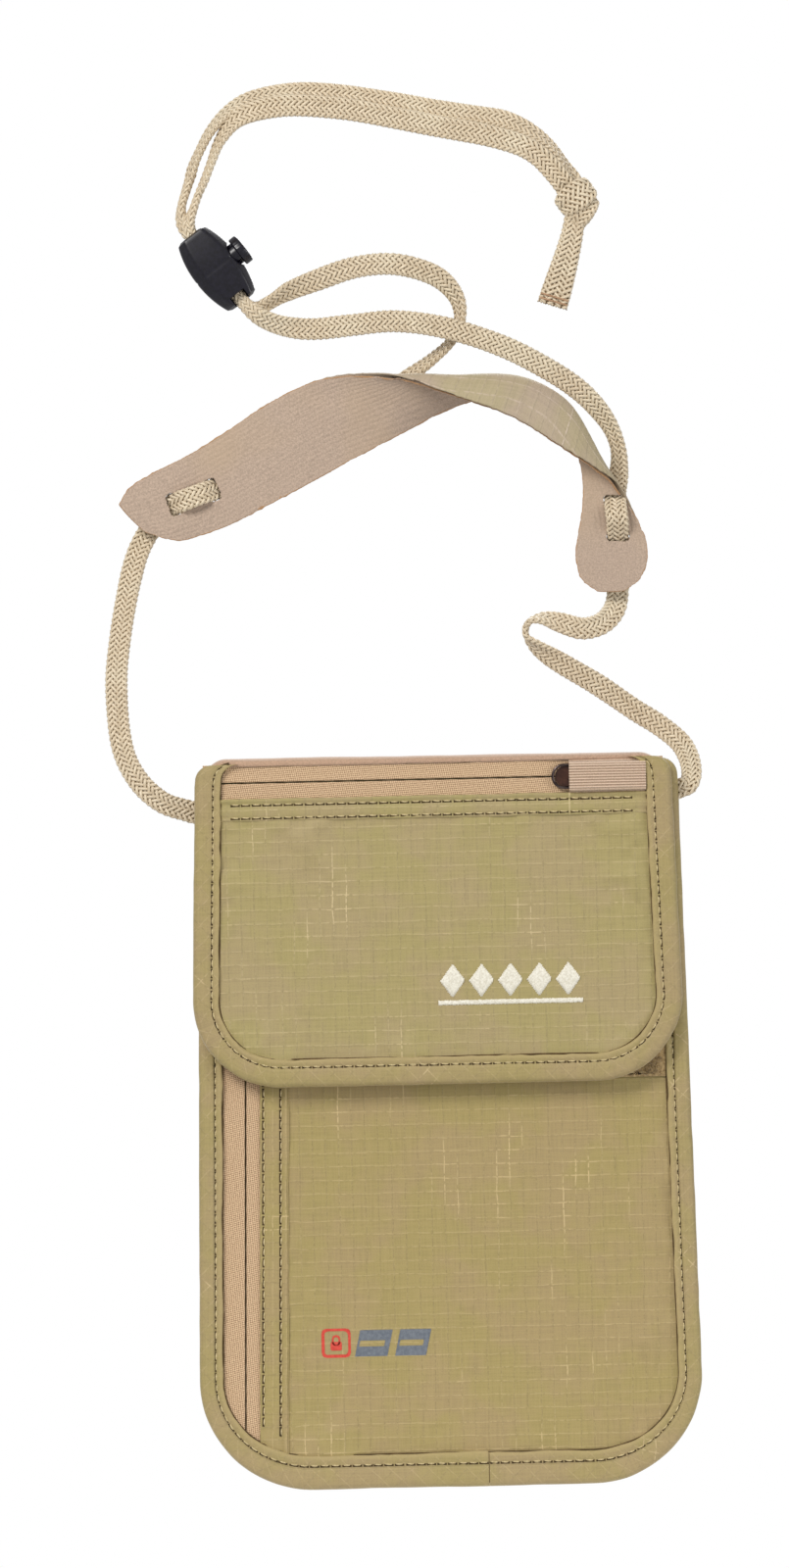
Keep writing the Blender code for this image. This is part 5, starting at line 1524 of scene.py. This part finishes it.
wrap_braid("knot_wrap_high", (42.0, 4.0, 253.4), (-0.58, 0, 0.81), 4.9, 3.2, 3.9, ("cord_knot",))
wrap_braid("knot_wrap_low", (44.0, 4.1, 249.6), (-0.82, 0, 0.57), 4.1, 2.4, 2.9)
tail = [(42.0, 3.3, 251.0, 0), (41.2, 3.2, 245.4, 0), (39.9, 3.1, 239.9, 0), (37.8, 3.1, 232.8, 0),
        (34.9, 3.1, 223.8, 0)]
tail_braid("tail_front", tail, (2.5, 4.0))
tail_braid("tail_back", [(x + 0.2, y + 1.5, z + 0.5, turn) for x, y, z, turn in tail], (2.3, 3.8))
seam_ends(tail)


# Neck pad -------------------------------------------------------------------------------------

PAD_GRID = ((520, 104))


def pad_grid(rows, columns):
    """Fine grid on the pad's middle surface, and the direction out of its ripstop side."""
    upper, middle, lower = (smooth_path([section[k] for section in PAD_SECTIONS], rows)[0] for k in range(3))
    control = 2 * middle - 0.5 * (upper + lower)
    t = np.linspace(0, 1, columns)[None, :, None]
    grid = upper[:, None] * (1 - t) ** 2 + control[:, None] * (2 * t * (1 - t)) + lower[:, None] * t**2
    return grid, unit(np.cross(np.gradient(grid, axis=0), np.gradient(grid, axis=1)))


def in_slits(x, y, z):
    """True in the slits that the cord passes through."""
    found = np.zeros(x.shape, dtype=bool)
    for slit_x, slit_z, heading in PAD_SLITS:
        turn = math.radians(heading)
        dx, dz = x - slit_x, z - slit_z
        along, aside = dx * math.cos(turn) + dz * math.sin(turn), dz * math.cos(turn) - dx * math.sin(turn)
        found |= (np.abs(along) / 1.6) ** 4 + (np.abs(aside) / 3.2) ** 4 < 1
    return found & (y > 1.5)


def make_pad():
    rows, columns = PAD_GRID
    grid, out = pad_grid(rows, columns)
    run = run_of(grid[:, columns // 2])
    widths = np.linalg.norm(grid[:, -1] - grid[:, 0], axis=1)
    share = np.linspace(-0.5, 0.5, columns)
    u = run[:, None] + 0 * share
    v = share * widths[:, None]
    edge = np.minimum((0.5 - np.abs(share)) * widths[:, None], np.minimum(run, run[-1] - run)[:, None])
    ripple = 0.32 * value_noise(u / 11.0, v / 9.0, 71) * smoothstep(0.0, 5.0, edge)
    fray = 0.16 * value_noise(u / 1.6, v / 30.0, 72) + 0.10 * value_noise(u / 0.6, v / 30.0, 73)
    border = (np.abs(share) > 0.5 - 1.0 / columns) * np.sign(share)
    frayed = unit(np.gradient(grid, axis=1)) * (border * fray)[..., None]
    nap = 0.03 * value_noise(u / 0.7, v / 0.7, 74) + 0.05 * np.sin(2 * np.pi * v / 1.3)
    for label, lift, thickness, node, slot in (
        ("skin", ripple - 0.72 - nap, 0.5, "neck_pad_lining", "skin_fabric"),
        ("ripstop", ripple + yarn_height(u, v) + 0.58, 0.38, "neck_pad_face", "ripstop"),
    ):
        points = grid + out * lift[..., None] + frayed
        faces = grid_faces(rows, columns)
        faces = faces[~in_slits(*points.reshape(-1, 3)[faces].mean(axis=1).T)]
        uv = np.stack([u, v], axis=-1).reshape(-1, 2)
        piece = new_piece("pad_" + label, points, [faces], "pad_" + label, "strap", uv, replaces=(node,),
                          slot=slot)
        rim = piece.data.attributes.new("edge", "FLOAT", "POINT")
        rim.data.foreach_set("value", edge.astype(np.float32).ravel())
        shown = np.array(piece.data.polygons[len(faces) // 2].normal)
        if (shown @ out[rows // 2, columns // 2] > 0) == (label == "skin"):
            piece.data.flip_normals()
        thicken(piece, thickness)


make_pad()


# Stage ----------------------------------------------------------------------------------------

VIEW_DISTANCE, VIEW_HEIGHT, VIEW_ROLL = 2.4, 0.4301, math.radians(1.25)
VIEW_CENTRE = Vector((-0.0113, 0.0, 0.0933))
SENSOR = 36.0
WORLD_LIGHT = 0.46


def make_floor():
    turn = circle(96)
    ring = np.column_stack([300 * np.cos(turn), 300 * np.sin(turn) + 40, np.full(96, -165.0)])
    new_piece("floor", ring, [[range(96)]], "floor", None, smooth=False)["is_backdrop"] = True


def area_light(name, place, target, size, watts, colour=(1, 1, 1)):
    data = bpy.data.lights.new(name, "AREA")
    data.shape = "SQUARE"
    data.size = size
    data.energy = watts
    data.color = colour
    lamp = bpy.data.objects.new(name, data)
    lamp.location = place
    lamp.rotation_mode = "QUATERNION"
    lamp.rotation_quaternion = (Vector(target) - Vector(place)).to_track_quat("-Z", "Y")
    bpy.context.scene.collection.objects.link(lamp)


def make_world():
    """Soft light from all round, and plain white where the camera looks past the object."""
    world = bpy.data.worlds.new("studio")
    world.use_nodes = True
    tree = world.node_tree
    background = tree.nodes["Background"]
    seen = tree.nodes.new("ShaderNodeBackground")
    for node, strength in ((background, WORLD_LIGHT), (seen, 1.0)):
        node.inputs["Color"].default_value = (1, 1, 1, 1)
        node.inputs["Strength"].default_value = strength
    path = tree.nodes.new("ShaderNodeLightPath")
    mix = tree.nodes.new("ShaderNodeMixShader")
    tree.links.new(path.outputs["Is Camera Ray"], mix.inputs[0])
    tree.links.new(background.outputs[0], mix.inputs[1])
    tree.links.new(seen.outputs[0], mix.inputs[2])
    tree.links.new(mix.outputs[0], tree.nodes["World Output"].inputs["Surface"])
    bpy.context.scene.world = world


def make_camera():
    data = bpy.data.cameras.new("camera")
    data.sensor_width = SENSOR
    data.lens = SENSOR * VIEW_DISTANCE / VIEW_HEIGHT
    camera = bpy.data.objects.new("camera", data)
    camera.location = VIEW_CENTRE + Vector((0.0, -VIEW_DISTANCE, 0.0))
    camera.rotation_euler = (math.pi / 2, 0.0, 0.0)
    level = camera.rotation_euler.to_matrix()
    camera.rotation_euler = (Matrix.Rotation(VIEW_ROLL, 3, "Y") @ level).to_euler()
    bpy.context.scene.collection.objects.link(camera)
    bpy.context.scene.camera = camera


make_floor()
make_world()
area_light("key", (-0.75, -1.1, 0.95), (0, 0, 0.08), 0.5, 16.0, (1.0, 0.98, 0.95))
area_light("fill", (1.2, -0.9, 0.2), (0, 0, 0.05), 0.9, 7.0)
area_light("rear", (0.2, 1.2, 0.7), (0, 0, 0.1), 0.8, 10.0)
bpy.context.scene.view_settings.view_transform = "Standard"
make_camera()

low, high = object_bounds()
